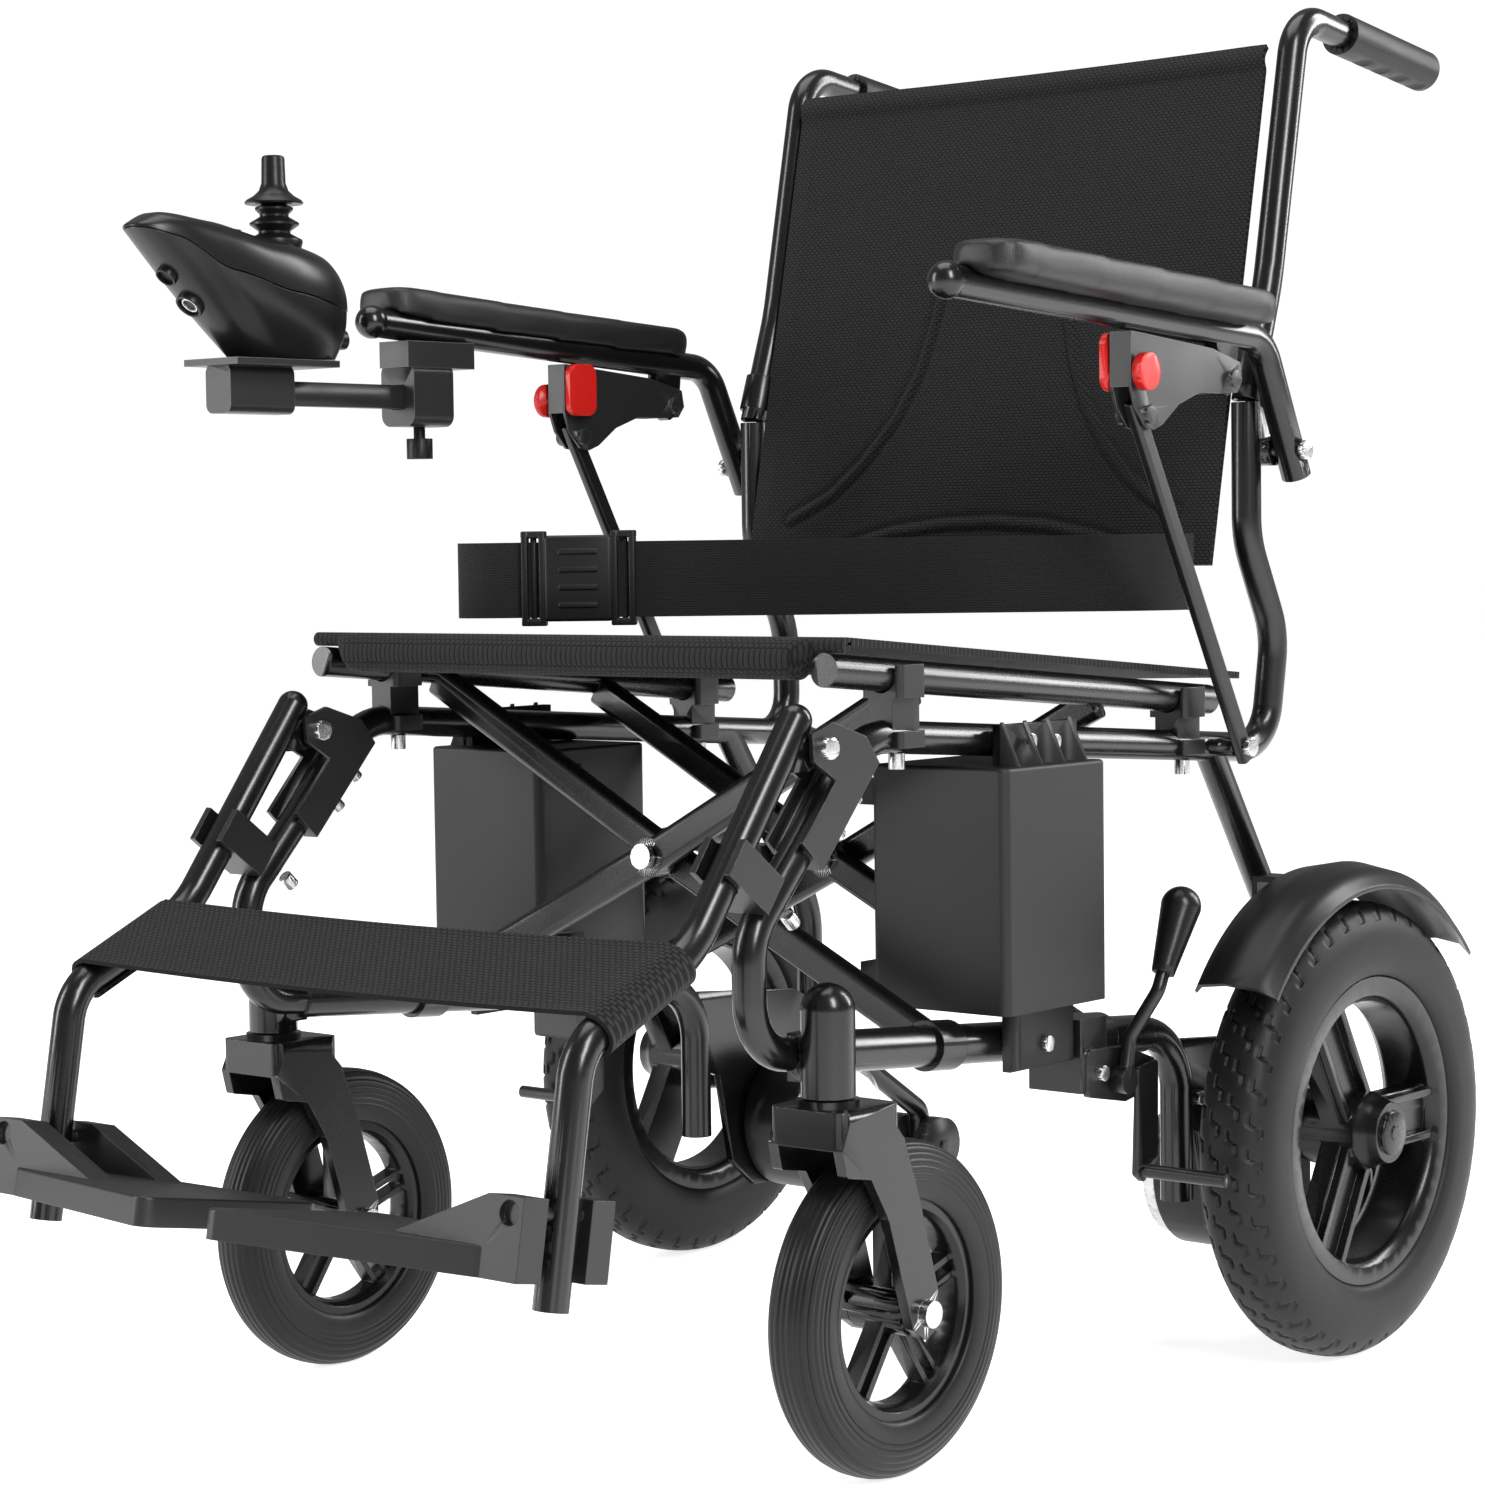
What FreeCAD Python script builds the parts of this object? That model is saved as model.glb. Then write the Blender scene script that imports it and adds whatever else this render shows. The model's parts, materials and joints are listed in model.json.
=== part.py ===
import FreeCAD, Part
import os
from math import atan2, cos, degrees, pi, radians, sin, tan

# Folding power wheelchair, in millimetres.  +Z is up, the chair faces -Y and its left side is +X.
# Every side part is drawn once for the left side and mirrored for the right side.
# Heights are above the floor.  Lengths along the chair are measured from the rear axle (REAR_AXLE
# turns them into the part's own frame, whose origin is under the middle of the chair's length).

# ---------------------------------------------------------------- driving dimensions
REAR_AXLE = 265.6            # the rear axle lies this far behind the origin
HALF_TRACK = 212.0           # side-frame tubes, from the middle plane
TUBE = 20.0                  # diameter of the main frame tubes
WALL = 1.8                   # wall of every frame tube
LOWER_TUBE = 25.0            # diameter of the lower side tube, on which the cross brace turns
TAIL_TUBE = 22.0             # diameter of the hooked tube behind the lower side tube
SEAT_SLOPE = 0.085           # the seat, the lower tube and the fold axis all rise this much per mm forward

REAR_WHEEL_R = 152.5         # 12 inch rear wheel
REAR_WHEEL_X = 290.0         # its centre plane
REAR_TYRE_W = 54.0
REAR_RIM_R = 103.0           # bead of the rear tyre
CASTER_R = 100.0             # 8 inch caster
CASTER_X = 235.0
CASTER_STEM_Y = -482.0
CASTER_AXLE_Y = -428.0
CASTER_TYRE_W = 34.0
CASTER_RIM_R = 66.0

ARM_X = 243.0                # centre of the armrest tube
BACK_X = 217.0               # centre of the back tubes
FIT = 0.05                   # radial clearance of a pin in its bore
GAP = 0.4                    # clearance between bodies that pass each other

V = FreeCAD.Vector
X_AXIS = V(1, 0, 0)
Y_AXIS = V(0, 1, 0)
Z_AXIS = V(0, 0, 1)


# ---------------------------------------------------------------- small building functions
def at(x, y, z):
    """A point from half-width, length behind the rear axle, and height."""
    return V(x, y + REAR_AXLE, z)


def route(points, bends):
    """A wire of straight runs joined by tangent arcs; one bend radius for each inner point."""
    edges = []
    start = points[0]
    for i, radius in enumerate(bends, 1):
        corner = points[i]
        back = (points[i - 1] - corner).normalize()
        ahead = (points[i + 1] - corner).normalize()
        half_turn = (pi - back.getAngle(ahead)) / 2
        reach = radius * tan(half_turn)
        first = corner + back * reach
        last = corner + ahead * reach
        inward = (back + ahead).normalize()
        middle = corner + inward * (radius / cos(half_turn) - radius)
        edges.append(Part.LineSegment(start, first).toShape())
        edges.append(Part.Arc(first, middle, last).toShape())
        start = last
    edges.append(Part.LineSegment(start, points[-1]).toShape())
    return Part.Wire(edges)


def rod(points, bends, diameter):
    """A solid round bar along a route."""
    path = route(points, bends)
    section = Part.Face(Part.Wire(Part.makeCircle(diameter / 2, points[0], points[1] - points[0])))
    return path.makePipe(section)


def side_points(x, pairs):
    """Points in a side plane, from (length, height) pairs."""
    return [at(x, y, z) for y, z in pairs]


def cylinder(base, direction, radius, length):
    return Part.makeCylinder(radius, length, base, direction)


def ring(base, direction, outer, inner, length):
    return cylinder(base, direction, outer, length).cut(cylinder(base, direction, inner, length))


def block(x0, x1, y0, y1, z0, z1):
    """A box from its two corners."""
    return Part.makeBox(x1 - x0, y1 - y0, z1 - z0, at(x0, y0, z0))


def rounded(shape, radius, direction=None):
    """The shape with its straight edges rounded, or only those along one direction."""
    edges = []
    for edge in shape.Edges:
        if edge.Curve.TypeId != "Part::GeomLine":
            continue
        along = edge.tangentAt(edge.FirstParameter)
        if direction is None or abs(abs(along.dot(direction)) - 1) < 1e-3:
            edges.append(edge)
    return shape.makeFillet(radius, edges)


def side_plate(x0, x1, pairs, corner=0.0):
    """A flat plate in a side plane, from its outline as (length, height) pairs."""
    outline = side_points(x0, pairs)
    face = Part.Face(Part.makePolygon(outline + [outline[0]]))
    plate = face.extrude(V(x1 - x0, 0, 0))
    return rounded(plate, corner, X_AXIS) if corner else plate


def turned(profile, centre, axis=X_AXIS):
    """A body of revolution about an axis along X: profile is (x, radius) pairs round a closed outline."""
    points = [V(x, centre.y, centre.z + r) for x, r in profile]
    face = Part.Face(Part.makePolygon(points + [points[0]]))
    return face.revolve(V(0, centre.y, centre.z), axis, 360)


def bolt(head_centre, direction, head_r=5.0, head_h=4.0, shank_r=3.0, shank=6.0):
    """A hexagon bolt head with a domed washer face, its shank running back into the part."""
    unit = V(direction).normalize()
    head = cylinder(head_centre, unit, head_r, head_h)
    stem = cylinder(head_centre - unit * shank, unit, shank_r, shank)
    return head.fuse(stem)


def fuse(shapes):
    body = shapes[0].multiFuse(shapes[1:])
    return body.removeSplitter()


def mirrored(shape):
    return shape.mirror(V(0, 0, 0), X_AXIS)


os.makedirs("parts", exist_ok=True)
SAVED = []


def save(name, shapes):
    """Write one node; a list of shapes is a group of separate solids."""
    solids = []
    for shape in shapes if isinstance(shapes, list) else [shapes]:
        solids += shape.Solids
    node = solids[0] if len(solids) == 1 else Part.makeCompound(solids)
    assert all(s.isValid() and s.Volume > 0 for s in solids), name
    node.exportStep("parts/" + name + ".step")
    SAVED.append((name, node))


def save_pair(name, shapes):
    """Write the left node and its mirror image for the right side."""
    group = shapes if isinstance(shapes, list) else [shapes]
    save(name + "_left", group)
    save(name + "_right", [mirrored(s) for s in group])


def lower_tube_z(y):
    return 238.0 - SEAT_SLOPE * (y + 285.0)


def seat_tube_z(y):
    return 460.5 - SEAT_SLOPE * (y + 282.0)


def upper_tube_z(y):
    return 432.0 - 0.0697 * (y + 375.0)


def brace_pivot_z(y):
    return 342.5 - SEAT_SLOPE * (y + 285.0)


# ---------------------------------------------------------------- side frames
# One bent tube runs from the back joint down an S bend, forward as the upper side tube and down the
# front leg; the lower tube, its hooked tail, the rear leg and the motor plate are welded to it.
BACK_JOINT_Z = 640.0
FRONT_CORNER_Z = upper_tube_z(-419)
MAIN_TUBE = [(-1, BACK_JOINT_Z - 0.5), (-1, 547), (34, 482), (28, upper_tube_z(28)),
             (-419, FRONT_CORNER_Z), (-524, 326), (-524, lower_tube_z(-524)), (-476, lower_tube_z(-476))]
MAIN_BENDS = [60, 60, 30, 52, 40, 34]
LOWER_RUN = [(-480, lower_tube_z(-480)), (-128, lower_tube_z(-128))]
TAIL = [(-135, lower_tube_z(-135)), (-84, lower_tube_z(-84)), (-84, 108)]
REAR_LEG = [(-44, upper_tube_z(-44)), (52, 266), (52, 158)]
AXLE_Z = REAR_WHEEL_R
MOTOR_Y = 15.0
MOTOR_Z = 110.0
MOTOR_R = 52.0

main_tube_points = side_points(HALF_TRACK, MAIN_TUBE)
# the back post leans out to the wider back tubes
for i in range(3):
    main_tube_points[i] = V(BACK_X, main_tube_points[i].y, main_tube_points[i].z)

lower_run = side_points(HALF_TRACK, LOWER_RUN)
tail = side_points(HALF_TRACK, TAIL)
rear_leg = side_points(HALF_TRACK, REAR_LEG)
# stem housing for the caster, standing just outside the lower tube
HOUSING_R = 16.0
housing = cylinder(at(CASTER_X, CASTER_STEM_Y, 232), Z_AXIS, HOUSING_R, 50)
housing_dome = Part.makeSphere(HOUSING_R, at(CASTER_X, CASTER_STEM_Y, 282))
housing_web = block(HALF_TRACK, CASTER_X, CASTER_STEM_Y - 9, CASTER_STEM_Y + 9, 240, 268)
STEM_R = 7.0
stem_bore = cylinder(at(CASTER_X, CASTER_STEM_Y, 230), Z_AXIS, STEM_R + FIT, 44)
# motor plate, welded behind the tail tube, with the motor shaft hole and the axle hole
MOTOR_PLATE = [(-84, 216), (30, 206), (64, 190), (66, 80), (40, 62), (-20, 62), (-46, 84), (-60, 150),
               (-84, 158)]
motor_plate = side_plate(HALF_TRACK - 3, HALF_TRACK + 3, MOTOR_PLATE)
# stub for the anti-tip tube, out of the motor plate to the rear
ANTI_TIP_Y = 190.0
ANTI_TIP_Z = 64.0
anti_tip_run = side_points(HALF_TRACK, [(52, 176), (130, 128), (ANTI_TIP_Y, ANTI_TIP_Z + 26),
                                        (ANTI_TIP_Y, ANTI_TIP_Z)])
AXLE_BOSS_R = 20.0
axle_boss = cylinder(at(HALF_TRACK - 3, 0, AXLE_Z), X_AXIS, AXLE_BOSS_R, 28)
AXLE_R = 8.0
axle_bore = cylinder(at(HALF_TRACK - 10, 0, AXLE_Z), X_AXIS, AXLE_R + FIT, 40)
ARM_PIVOT = (11.0, 606.5)
arm_boss = cylinder(at(BACK_X, *ARM_PIVOT), X_AXIS, 10, ARM_X - TUBE / 2 - GAP - BACK_X)
STRUT_FOOT = (-50.0, 410.0)
STRUT_X = 243.0
strut_boss = cylinder(at(HALF_TRACK, *STRUT_FOOT), X_AXIS, 7, STRUT_X - 4 - GAP - HALF_TRACK)

# two ears behind the post's top end carry the hinge pin of the folding back
BACK_HINGE = (19.0, BACK_JOINT_Z)
EAR_IN = 6.4
EAR_OUT = 9.6
ears = []
for x0, x1 in ((BACK_X - EAR_OUT, BACK_X - EAR_IN), (BACK_X + EAR_IN, BACK_X + EAR_OUT)):
    ears.append(side_plate(x0, x1, [(-1, 612), (8, 612), (25, 634), (25, 646), (13.4, 646), (13.4, 636),
                                    (-1, 636)]))

outer_tubes = [rod(main_tube_points, MAIN_BENDS, TUBE),
               rod(lower_run, [], LOWER_TUBE),
               rod(tail, [44], TAIL_TUBE),
               rod(rear_leg, [60], TUBE),
               rod(anti_tip_run, [60, 12], 16.0)]
inner_tubes = [rod(main_tube_points, MAIN_BENDS, TUBE - 2 * WALL),
               rod(lower_run, [], LOWER_TUBE - 2 * WALL),
               rod(tail, [44], TAIL_TUBE - 2 * WALL)]
welded = [housing, housing_dome, housing_web, motor_plate, axle_boss, arm_boss, strut_boss]
side_frame = fuse(outer_tubes + welded + ears)
# the tail tube is open at its lower end; the other bores are blind
side_frame = side_frame.cut(inner_tubes[2]).cut(stem_bore).cut(axle_bore)
anti_tip_axle_bore = cylinder(at(HALF_TRACK - 12, ANTI_TIP_Y, ANTI_TIP_Z), X_AXIS, 4 + FIT, 24)
side_frame = side_frame.cut(anti_tip_axle_bore)
side_frame = side_frame.cut(cylinder(at(BACK_X - 20, *BACK_HINGE), X_AXIS, 3.0, 40))
save_pair("side_frame", side_frame)

# ---------------------------------------------------------------- brackets on the side frames
# Two saddles that the seat tube drops into, the footrest bracket with its stop clip, and the
# brake clamp with its hanging plate.
SADDLE_YS = (-387.0, -80.0)
SEAT_TUBE_R = TUBE / 2
leg_void = rod(main_tube_points, MAIN_BENDS, TUBE)
brackets = []
for y in SADDLE_YS:
    base_z = upper_tube_z(y)
    cradle_z = seat_tube_z(y)
    saddle = block(HALF_TRACK - 15, HALF_TRACK + 15, y - 13, y + 13, base_z - 6, cradle_z + 7)
    saddle = rounded(saddle, 4, Z_AXIS)
    along = V(0, 1, -SEAT_SLOPE)
    trough = cylinder(at(HALF_TRACK, y - 40, seat_tube_z(y - 40)), along, SEAT_TUBE_R + 0.9, 80)
    mouth = block(HALF_TRACK - SEAT_TUBE_R - 0.9, HALF_TRACK + SEAT_TUBE_R + 0.9,
                  y - 14, y + 14, cradle_z, cradle_z + 20)
    waist_l = block(HALF_TRACK - 16, HALF_TRACK - 9, y - 14, y + 14, base_z + 4, cradle_z - SEAT_TUBE_R - 3)
    waist_r = block(HALF_TRACK + 9, HALF_TRACK + 16, y - 14, y + 14, base_z + 4, cradle_z - SEAT_TUBE_R - 3)
    for tool in (trough, mouth, leg_void, waist_l, waist_r):
        saddle = saddle.cut(tool)
    brackets.append(saddle.cut(rod(rear_leg, [60], TUBE)))

HANGER_PIVOT = (-470.0, 431.0)
CHEEK = [(-482, 440), (-463, 446), (-432, 436), (-420, 420), (-474, 361), (-492, 378), (-461, 412),
         (-481, 424)]
cheeks = [side_plate(HALF_TRACK - 14.5, HALF_TRACK - 11.5, CHEEK),
          side_plate(HALF_TRACK + 11.5, HALF_TRACK + 14.5, CHEEK)]
bridge = side_plate(HALF_TRACK - 12, HALF_TRACK + 12, [(-432, 436), (-420, 420), (-474, 361), (-486, 372)])
pivot_bore = cylinder(at(HALF_TRACK - 30, *HANGER_PIVOT), X_AXIS, 4.0, 60)
footrest_bracket = fuse(cheeks + [bridge]).cut(leg_void).cut(pivot_bore)
brackets.append(footrest_bracket)

# hanger tube line, needed here for the stop clip
HANGER_TOP = (-480.0, 447.0)
HANGER_KNEE = (-575.0, 322.0)
HANGER_TOE = (-667.0, 281.0)
HANGER_END = (-692.0, 142.0)
run_y = HANGER_KNEE[0] - HANGER_TOP[0]
run_z = HANGER_KNEE[1] - HANGER_TOP[1]
run_length = (run_y ** 2 + run_z ** 2) ** 0.5
hanger_dir = V(0, run_y / run_length, run_z / run_length)
hanger_normal = V(0, hanger_dir.z, -hanger_dir.y)
CLIP_AT = 100.0
clip_centre = at(HALF_TRACK, *HANGER_TOP) + hanger_dir * CLIP_AT
clip = Part.makeBox(30, 24, 42, V(-15, -12, -30))
clip = clip.cut(Part.makeCylinder(TUBE / 2 + GAP, 40, V(0, -20, 0), Y_AXIS))
clip = clip.cut(Part.makeBox(TUBE + 2 * GAP, 40, 30, V(-TUBE / 2 - GAP, -20, 0)))
clip.rotate(V(0, 0, 0), X_AXIS, degrees(atan2(hanger_dir.z, hanger_dir.y)) - 180)
clip.translate(clip_centre)
clip = clip.cut(leg_void)
brackets.append(max(clip.Solids, key=lambda s: s.Volume))

BRAKE_Y = -214.0
LEVER_PIVOT = (-196.0, 206.0)
brake_z = lower_tube_z(BRAKE_Y)
brake_clamp = block(HALF_TRACK - 16, HALF_TRACK + 24, BRAKE_Y - 16, BRAKE_Y + 13, brake_z - 32,
                    brake_z + 15)
brake_clamp = brake_clamp.cut(rod(lower_run, [], LOWER_TUBE))
brake_plate = side_plate(HALF_TRACK + 24, HALF_TRACK + 28,
                         [(-228, 228), (-186, 226), (-152, 214), (-150, 196), (-186, 190), (-228, 198)], 4)
SHOE_PIVOT = (-164.0, 205.0)
brake_clamp = fuse([brake_clamp, brake_plate])
for hole in (LEVER_PIVOT, SHOE_PIVOT):
    brake_clamp = brake_clamp.cut(cylinder(at(HALF_TRACK + 10, *hole), X_AXIS, 4.0 + FIT, 30))
brackets.append(brake_clamp)

# ---------------------------------------------------------------- fasteners on the side frames
BATTERY_BOLT_YS = (-276.0, -250.0)
bolts = [bolt(at(HALF_TRACK + 18, y, upper_tube_z(y)), X_AXIS) for y in BATTERY_BOLT_YS]
bolts.append(bolt(at(HALF_TRACK + 20, -263, lower_tube_z(-263)), X_AXIS))
# the hanger hinge pin with its head and nut
hinge_pin = cylinder(at(HALF_TRACK - 15, *HANGER_PIVOT), X_AXIS, 4.0 - FIT, 30)
hinge_heads = [cylinder(at(HALF_TRACK + 14.5, *HANGER_PIVOT), X_AXIS, 6.5, 5),
               cylinder(at(HALF_TRACK - 19.5, *HANGER_PIVOT), X_AXIS, 6.5, 5)]
bolts.append(fuse([hinge_pin] + hinge_heads))
# knobs under the front leg and under the rails
for y, z in ((-431, 403), (-447, 384), (-490, 336)):
    bolts.append(cylinder(at(HALF_TRACK, y, z), V(0, 0.73, -0.68), 4.5, 9))
for y in (-385, -75):
    bolts.append(cylinder(at(HALF_TRACK, y, upper_tube_z(y) - TUBE / 2 - 9), Z_AXIS, 5, 9.5))
# motor bolts through the motor plate
for y, z in ((-62, 174), (-30, 190), (44, 160), (50, 100), (-22, 76)):
    bolts.append(bolt(at(HALF_TRACK + 3, y, z), X_AXIS, 5, 4, 3, 6))
bolts.append(bolt(at(HALF_TRACK + 28, -214, 212), X_AXIS, 5, 4, 3, 4))
bolts = [b.cut(side_frame) for b in bolts]
for piece in brackets:
    bolts = [b.cut(piece) for b in bolts]
# arm pivot pin and strut pin, each with a head
for x0, x1, place in ((BACK_X + 4, ARM_X + TUBE / 2 + GAP, ARM_PIVOT),
                      (HALF_TRACK + 4, STRUT_X + 4 + GAP, STRUT_FOOT)):
    pin = cylinder(at(x0, *place), X_AXIS, 4.0, x1 - x0)
    head = cylinder(at(x1, *place), X_AXIS, 6.5, 4.5)
    bolts.append(max(fuse([pin, head]).cut(side_frame).Solids, key=lambda s: s.Volume))
# hinge pin of the folding back, carried in two ears behind the post
bolts.append(cylinder(at(BACK_X - 9.6, *BACK_HINGE), X_AXIS, 3.0, 19.2))
save_pair("frame_brackets", brackets)
save_pair("frame_bolts", bolts)

# ---------------------------------------------------------------- battery boxes
BATTERY_X = (142.0, 246.0)
BATTERY_Y = (-322.0, -213.0)
BATTERY_Z = (260.0, 411.0)
case = block(*BATTERY_X, *BATTERY_Y, *BATTERY_Z)
case = rounded(case, 6, Z_AXIS)
top_edges = [e for e in case.Edges if e.BoundBox.ZMin > BATTERY_Z[1] - 0.1]
case = case.makeFillet(2.5, top_edges)
battery = [case]
mid_y = sum(BATTERY_BOLT_YS) / 2
rail_z = upper_tube_z(mid_y)
# ribbed hanging flange, hooked over the outer side of the upper tube
flange = block(HALF_TRACK + 11, HALF_TRACK + 18, mid_y - 40, mid_y + 40, BATTERY_Z[1] - 1, rail_z + 12)
for i in range(4):
    y = mid_y - 36 + 24 * i
    rib = side_plate(y, y + 4, [(0, 0), (0, 30), (14, 0)])
    rib.rotate(V(y, REAR_AXLE, 0), Z_AXIS, -90)
    rib.translate(V(HALF_TRACK + 18 - y, y - 2, BATTERY_Z[1] - 3))
    flange = flange.fuse(rib)
foot = block(HALF_TRACK + 14, HALF_TRACK + 20, -300, -232, lower_tube_z(-263) - 14, BATTERY_Z[0] + 1)
foot_rib = block(HALF_TRACK + 14, HALF_TRACK + 24, -300, -294, lower_tube_z(-263) - 12, BATTERY_Z[0] + 1)
bosses = [block(BATTERY_X[0] - 12, BATTERY_X[0] + 2, BATTERY_Y[0] + 4, BATTERY_Y[0] + 30, z,
                z + 16) for z in (270, 385)]
case = fuse([case, flange, foot, foot_rib] + bosses)
for piece in bolts:
    case = case.cut(piece)
case = case.cut(side_frame)
save_pair("battery", max(case.Solids, key=lambda s: s.Volume))

# ---------------------------------------------------------------- drive motors
# Brushed gear motor hung inboard of the motor plate; an aluminium band closes its inner end.
motor_mid = at(0, MOTOR_Y, MOTOR_Z)
MOTOR_X = (146.0, HALF_TRACK - 3.0)
motor_body = turned([(MOTOR_X[0] + 14, 0), (MOTOR_X[0] + 14, MOTOR_R - 3), (MOTOR_X[0] + 17, MOTOR_R),
                     (MOTOR_X[1] - 4, MOTOR_R), (MOTOR_X[1] - 0, MOTOR_R - 4), (MOTOR_X[1], 0)], motor_mid)
motor_band = turned([(MOTOR_X[0], 0), (MOTOR_X[0], MOTOR_R - 12), (MOTOR_X[0] + 4, MOTOR_R - 5),
                     (MOTOR_X[0] + 14, MOTOR_R - 5), (MOTOR_X[0] + 14, 0)], motor_mid)
# gearbox between the motor plate and the wheel, round the axle boss
gearbox = side_plate(HALF_TRACK + 3, HALF_TRACK + 26,
                     [(-24, 172), (-10, 180), (12, 180), (30, 160), (44, 124), (44, 96), (28, 82),
                      (2, 82), (-12, 96), (-22, 130)])
gearbox = gearbox.cut(cylinder(at(HALF_TRACK, 0, AXLE_Z), X_AXIS, AXLE_BOSS_R + 0.2, 40))
for piece in bolts:
    gearbox = gearbox.cut(piece)
# the fixed axle, from the boss on the motor plate to the hub nut
HUB_CAP_X = 330.0
axle_mid = at(0, 0, AXLE_Z)
axle = turned([(HALF_TRACK - 9, 0), (HALF_TRACK - 9, AXLE_R), (HUB_CAP_X - 7, AXLE_R),
               (HUB_CAP_X - 7, 0)], axle_mid)
axle_washer = ring(at(HALF_TRACK + 25, 0, AXLE_Z), X_AXIS, 14, AXLE_R, 2.6)
save_pair("drive_motor", [motor_body, motor_band, max(gearbox.Solids, key=lambda s: s.Volume),
                          fuse([axle, axle_washer])])

# ---------------------------------------------------------------- rear wheels
wheel_mid = at(0, 0, AXLE_Z)
w = REAR_TYRE_W / 2
FREE_R = REAR_WHEEL_R + 0.3  # unloaded radius; the weight of the chair flattens the tyre on the floor
TYRE_CROWN = [(-w + 3, REAR_RIM_R), (-w, REAR_RIM_R + 14), (-w + 0.5, REAR_RIM_R + 26),
              (-w + 6, FREE_R - 6), (-w + 13, FREE_R - 1.2), (-w + 17, FREE_R)]
half = [(REAR_WHEEL_X + x, r) for x, r in TYRE_CROWN]
other = [(REAR_WHEEL_X - x, r) for x, r in reversed(TYRE_CROWN)]
floor_cut = block(REAR_WHEEL_X - w, REAR_WHEEL_X + w, -30, 30, -5, 0)
rear_tyre = turned(half + other, wheel_mid).cut(floor_cut)
save_pair("rear_tyre", rear_tyre)

rim_in, rim_out = REAR_WHEEL_X - 22, REAR_WHEEL_X + 22
rim_band = turned([(rim_in, REAR_RIM_R - 0.2), (rim_in, 92), (rim_in + 8, 86), (rim_out - 8, 86),
                   (rim_out, 92),
                   (rim_out, REAR_RIM_R - 0.2)], wheel_mid)
hub_in = HALF_TRACK + 28
hub = turned([(hub_in, AXLE_R + 4), (hub_in, 20), (REAR_WHEEL_X - 18, 26), (REAR_WHEEL_X + 20, 26),
              (HUB_CAP_X - 12, 22),
              (HUB_CAP_X - 4, 20), (HUB_CAP_X - 4, AXLE_R + 4)], wheel_mid)
spokes = []
for i in range(3):
    spoke = block(REAR_WHEEL_X - 2, REAR_WHEEL_X + 12, -19, 19, AXLE_Z + 15, AXLE_Z + 90)
    rib = block(REAR_WHEEL_X + 12, REAR_WHEEL_X + 18, -17, -12, AXLE_Z + 15, AXLE_Z + 89)
    rib2 = block(REAR_WHEEL_X + 12, REAR_WHEEL_X + 18, 12, 17, AXLE_Z + 15, AXLE_Z + 89)
    arm = spoke.fuse([rib, rib2])
    arm.rotate(wheel_mid, X_AXIS, 30 + 120 * i)
    spokes.append(arm)
rear_rim = fuse([rim_band, hub] + spokes)
rear_rim = rear_rim.cut(cylinder(at(hub_in - 1, 0, AXLE_Z), X_AXIS, AXLE_R + 4, 100))
hub_core = ring(at(hub_in, 0, AXLE_Z), X_AXIS, AXLE_R + 3.9, AXLE_R + FIT, HUB_CAP_X - 8 - hub_in)
hub_cap = turned([(HUB_CAP_X - 4, 0), (HUB_CAP_X - 4, 15), (HUB_CAP_X - 1, 14), (HUB_CAP_X - 1, 6),
                  (HUB_CAP_X, 5),
                  (HUB_CAP_X, 0)], wheel_mid)
save_pair("rear_rim", [fuse([rear_rim, hub_core]), hub_cap])

# ---------------------------------------------------------------- fenders
FENDER_R = 176.0
fender_mid = at(0, -8, 152)
crown = [(262, FENDER_R - 8), (268, FENDER_R), (290, FENDER_R + 4), (312, FENDER_R), (322, FENDER_R - 10),
         (322, FENDER_R - 13),
         (310, FENDER_R - 3), (290, FENDER_R + 1), (270, FENDER_R - 3), (262, FENDER_R - 11)]
points = [V(x, fender_mid.y, fender_mid.z + r) for x, r in crown]
fender = Part.Face(Part.makePolygon(points + [points[0]])).revolve(V(0, fender_mid.y, fender_mid.z),
                                                                   X_AXIS, 100)
fender.rotate(fender_mid, X_AXIS, -49)
fender_stay = fuse([block(HALF_TRACK + 6, 266, 2, 26, 314, 318),
                    block(HALF_TRACK + 6, HALF_TRACK + 10, 2, 26, 290, 318)])
fender_stay = fender_stay.cut(rod(rear_leg, [60], TUBE + 0.2))
fender_stay = max(fender_stay.Solids, key=lambda s: s.Volume)
fender = fender.cut(fender_stay)
save_pair("fender", [max(fender.Solids, key=lambda s: s.Volume), fender_stay])

# ---------------------------------------------------------------- anti-tip wheels
ANTI_TIP_R = 22.0
anti_tip = []
for x0 in (HALF_TRACK - 24, HALF_TRACK + 10):
    anti_tip.append(ring(at(x0, ANTI_TIP_Y, ANTI_TIP_Z), X_AXIS, ANTI_TIP_R, 3.9, 14))
spindle = cylinder(at(HALF_TRACK - 26, ANTI_TIP_Y, ANTI_TIP_Z), X_AXIS, 4.0, 52)
save_pair("anti_tip_wheels", fuse(anti_tip + [spindle]))

# ---------------------------------------------------------------- casters
CROWN_TOP = 229.0
LEG_IN = CASTER_TYRE_W / 2 + 3.5
LEG_OUT = CASTER_TYRE_W / 2 + 10.5
fork_side = [(-504, 206), (-494, CROWN_TOP - 2), (-466, CROWN_TOP - 2), (-447, 206), (-434, 172),
             (-416, 112), (-417, 90), (-428, 84),
             (-440, 92), (-462, 160), (-478, 186), (-500, 190)]
fork_legs = [rounded(side_plate(CASTER_X + a, CASTER_X + b, fork_side), 2.5, X_AXIS)
             for a, b in ((LEG_IN, LEG_OUT), (-LEG_OUT, -LEG_IN))]
crown_block = block(CASTER_X - LEG_OUT, CASTER_X + LEG_OUT, -504, -449, 205, CROWN_TOP - 2)
crown_block = rounded(crown_block, 7, Z_AXIS)
stem = cylinder(at(CASTER_X, CASTER_STEM_Y, 215), Z_AXIS, STEM_R, 56)
collar = cylinder(at(CASTER_X, CASTER_STEM_Y, CROWN_TOP - 3), Z_AXIS, 18, 5)
fork = fuse(fork_legs + [crown_block, collar, stem])
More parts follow.
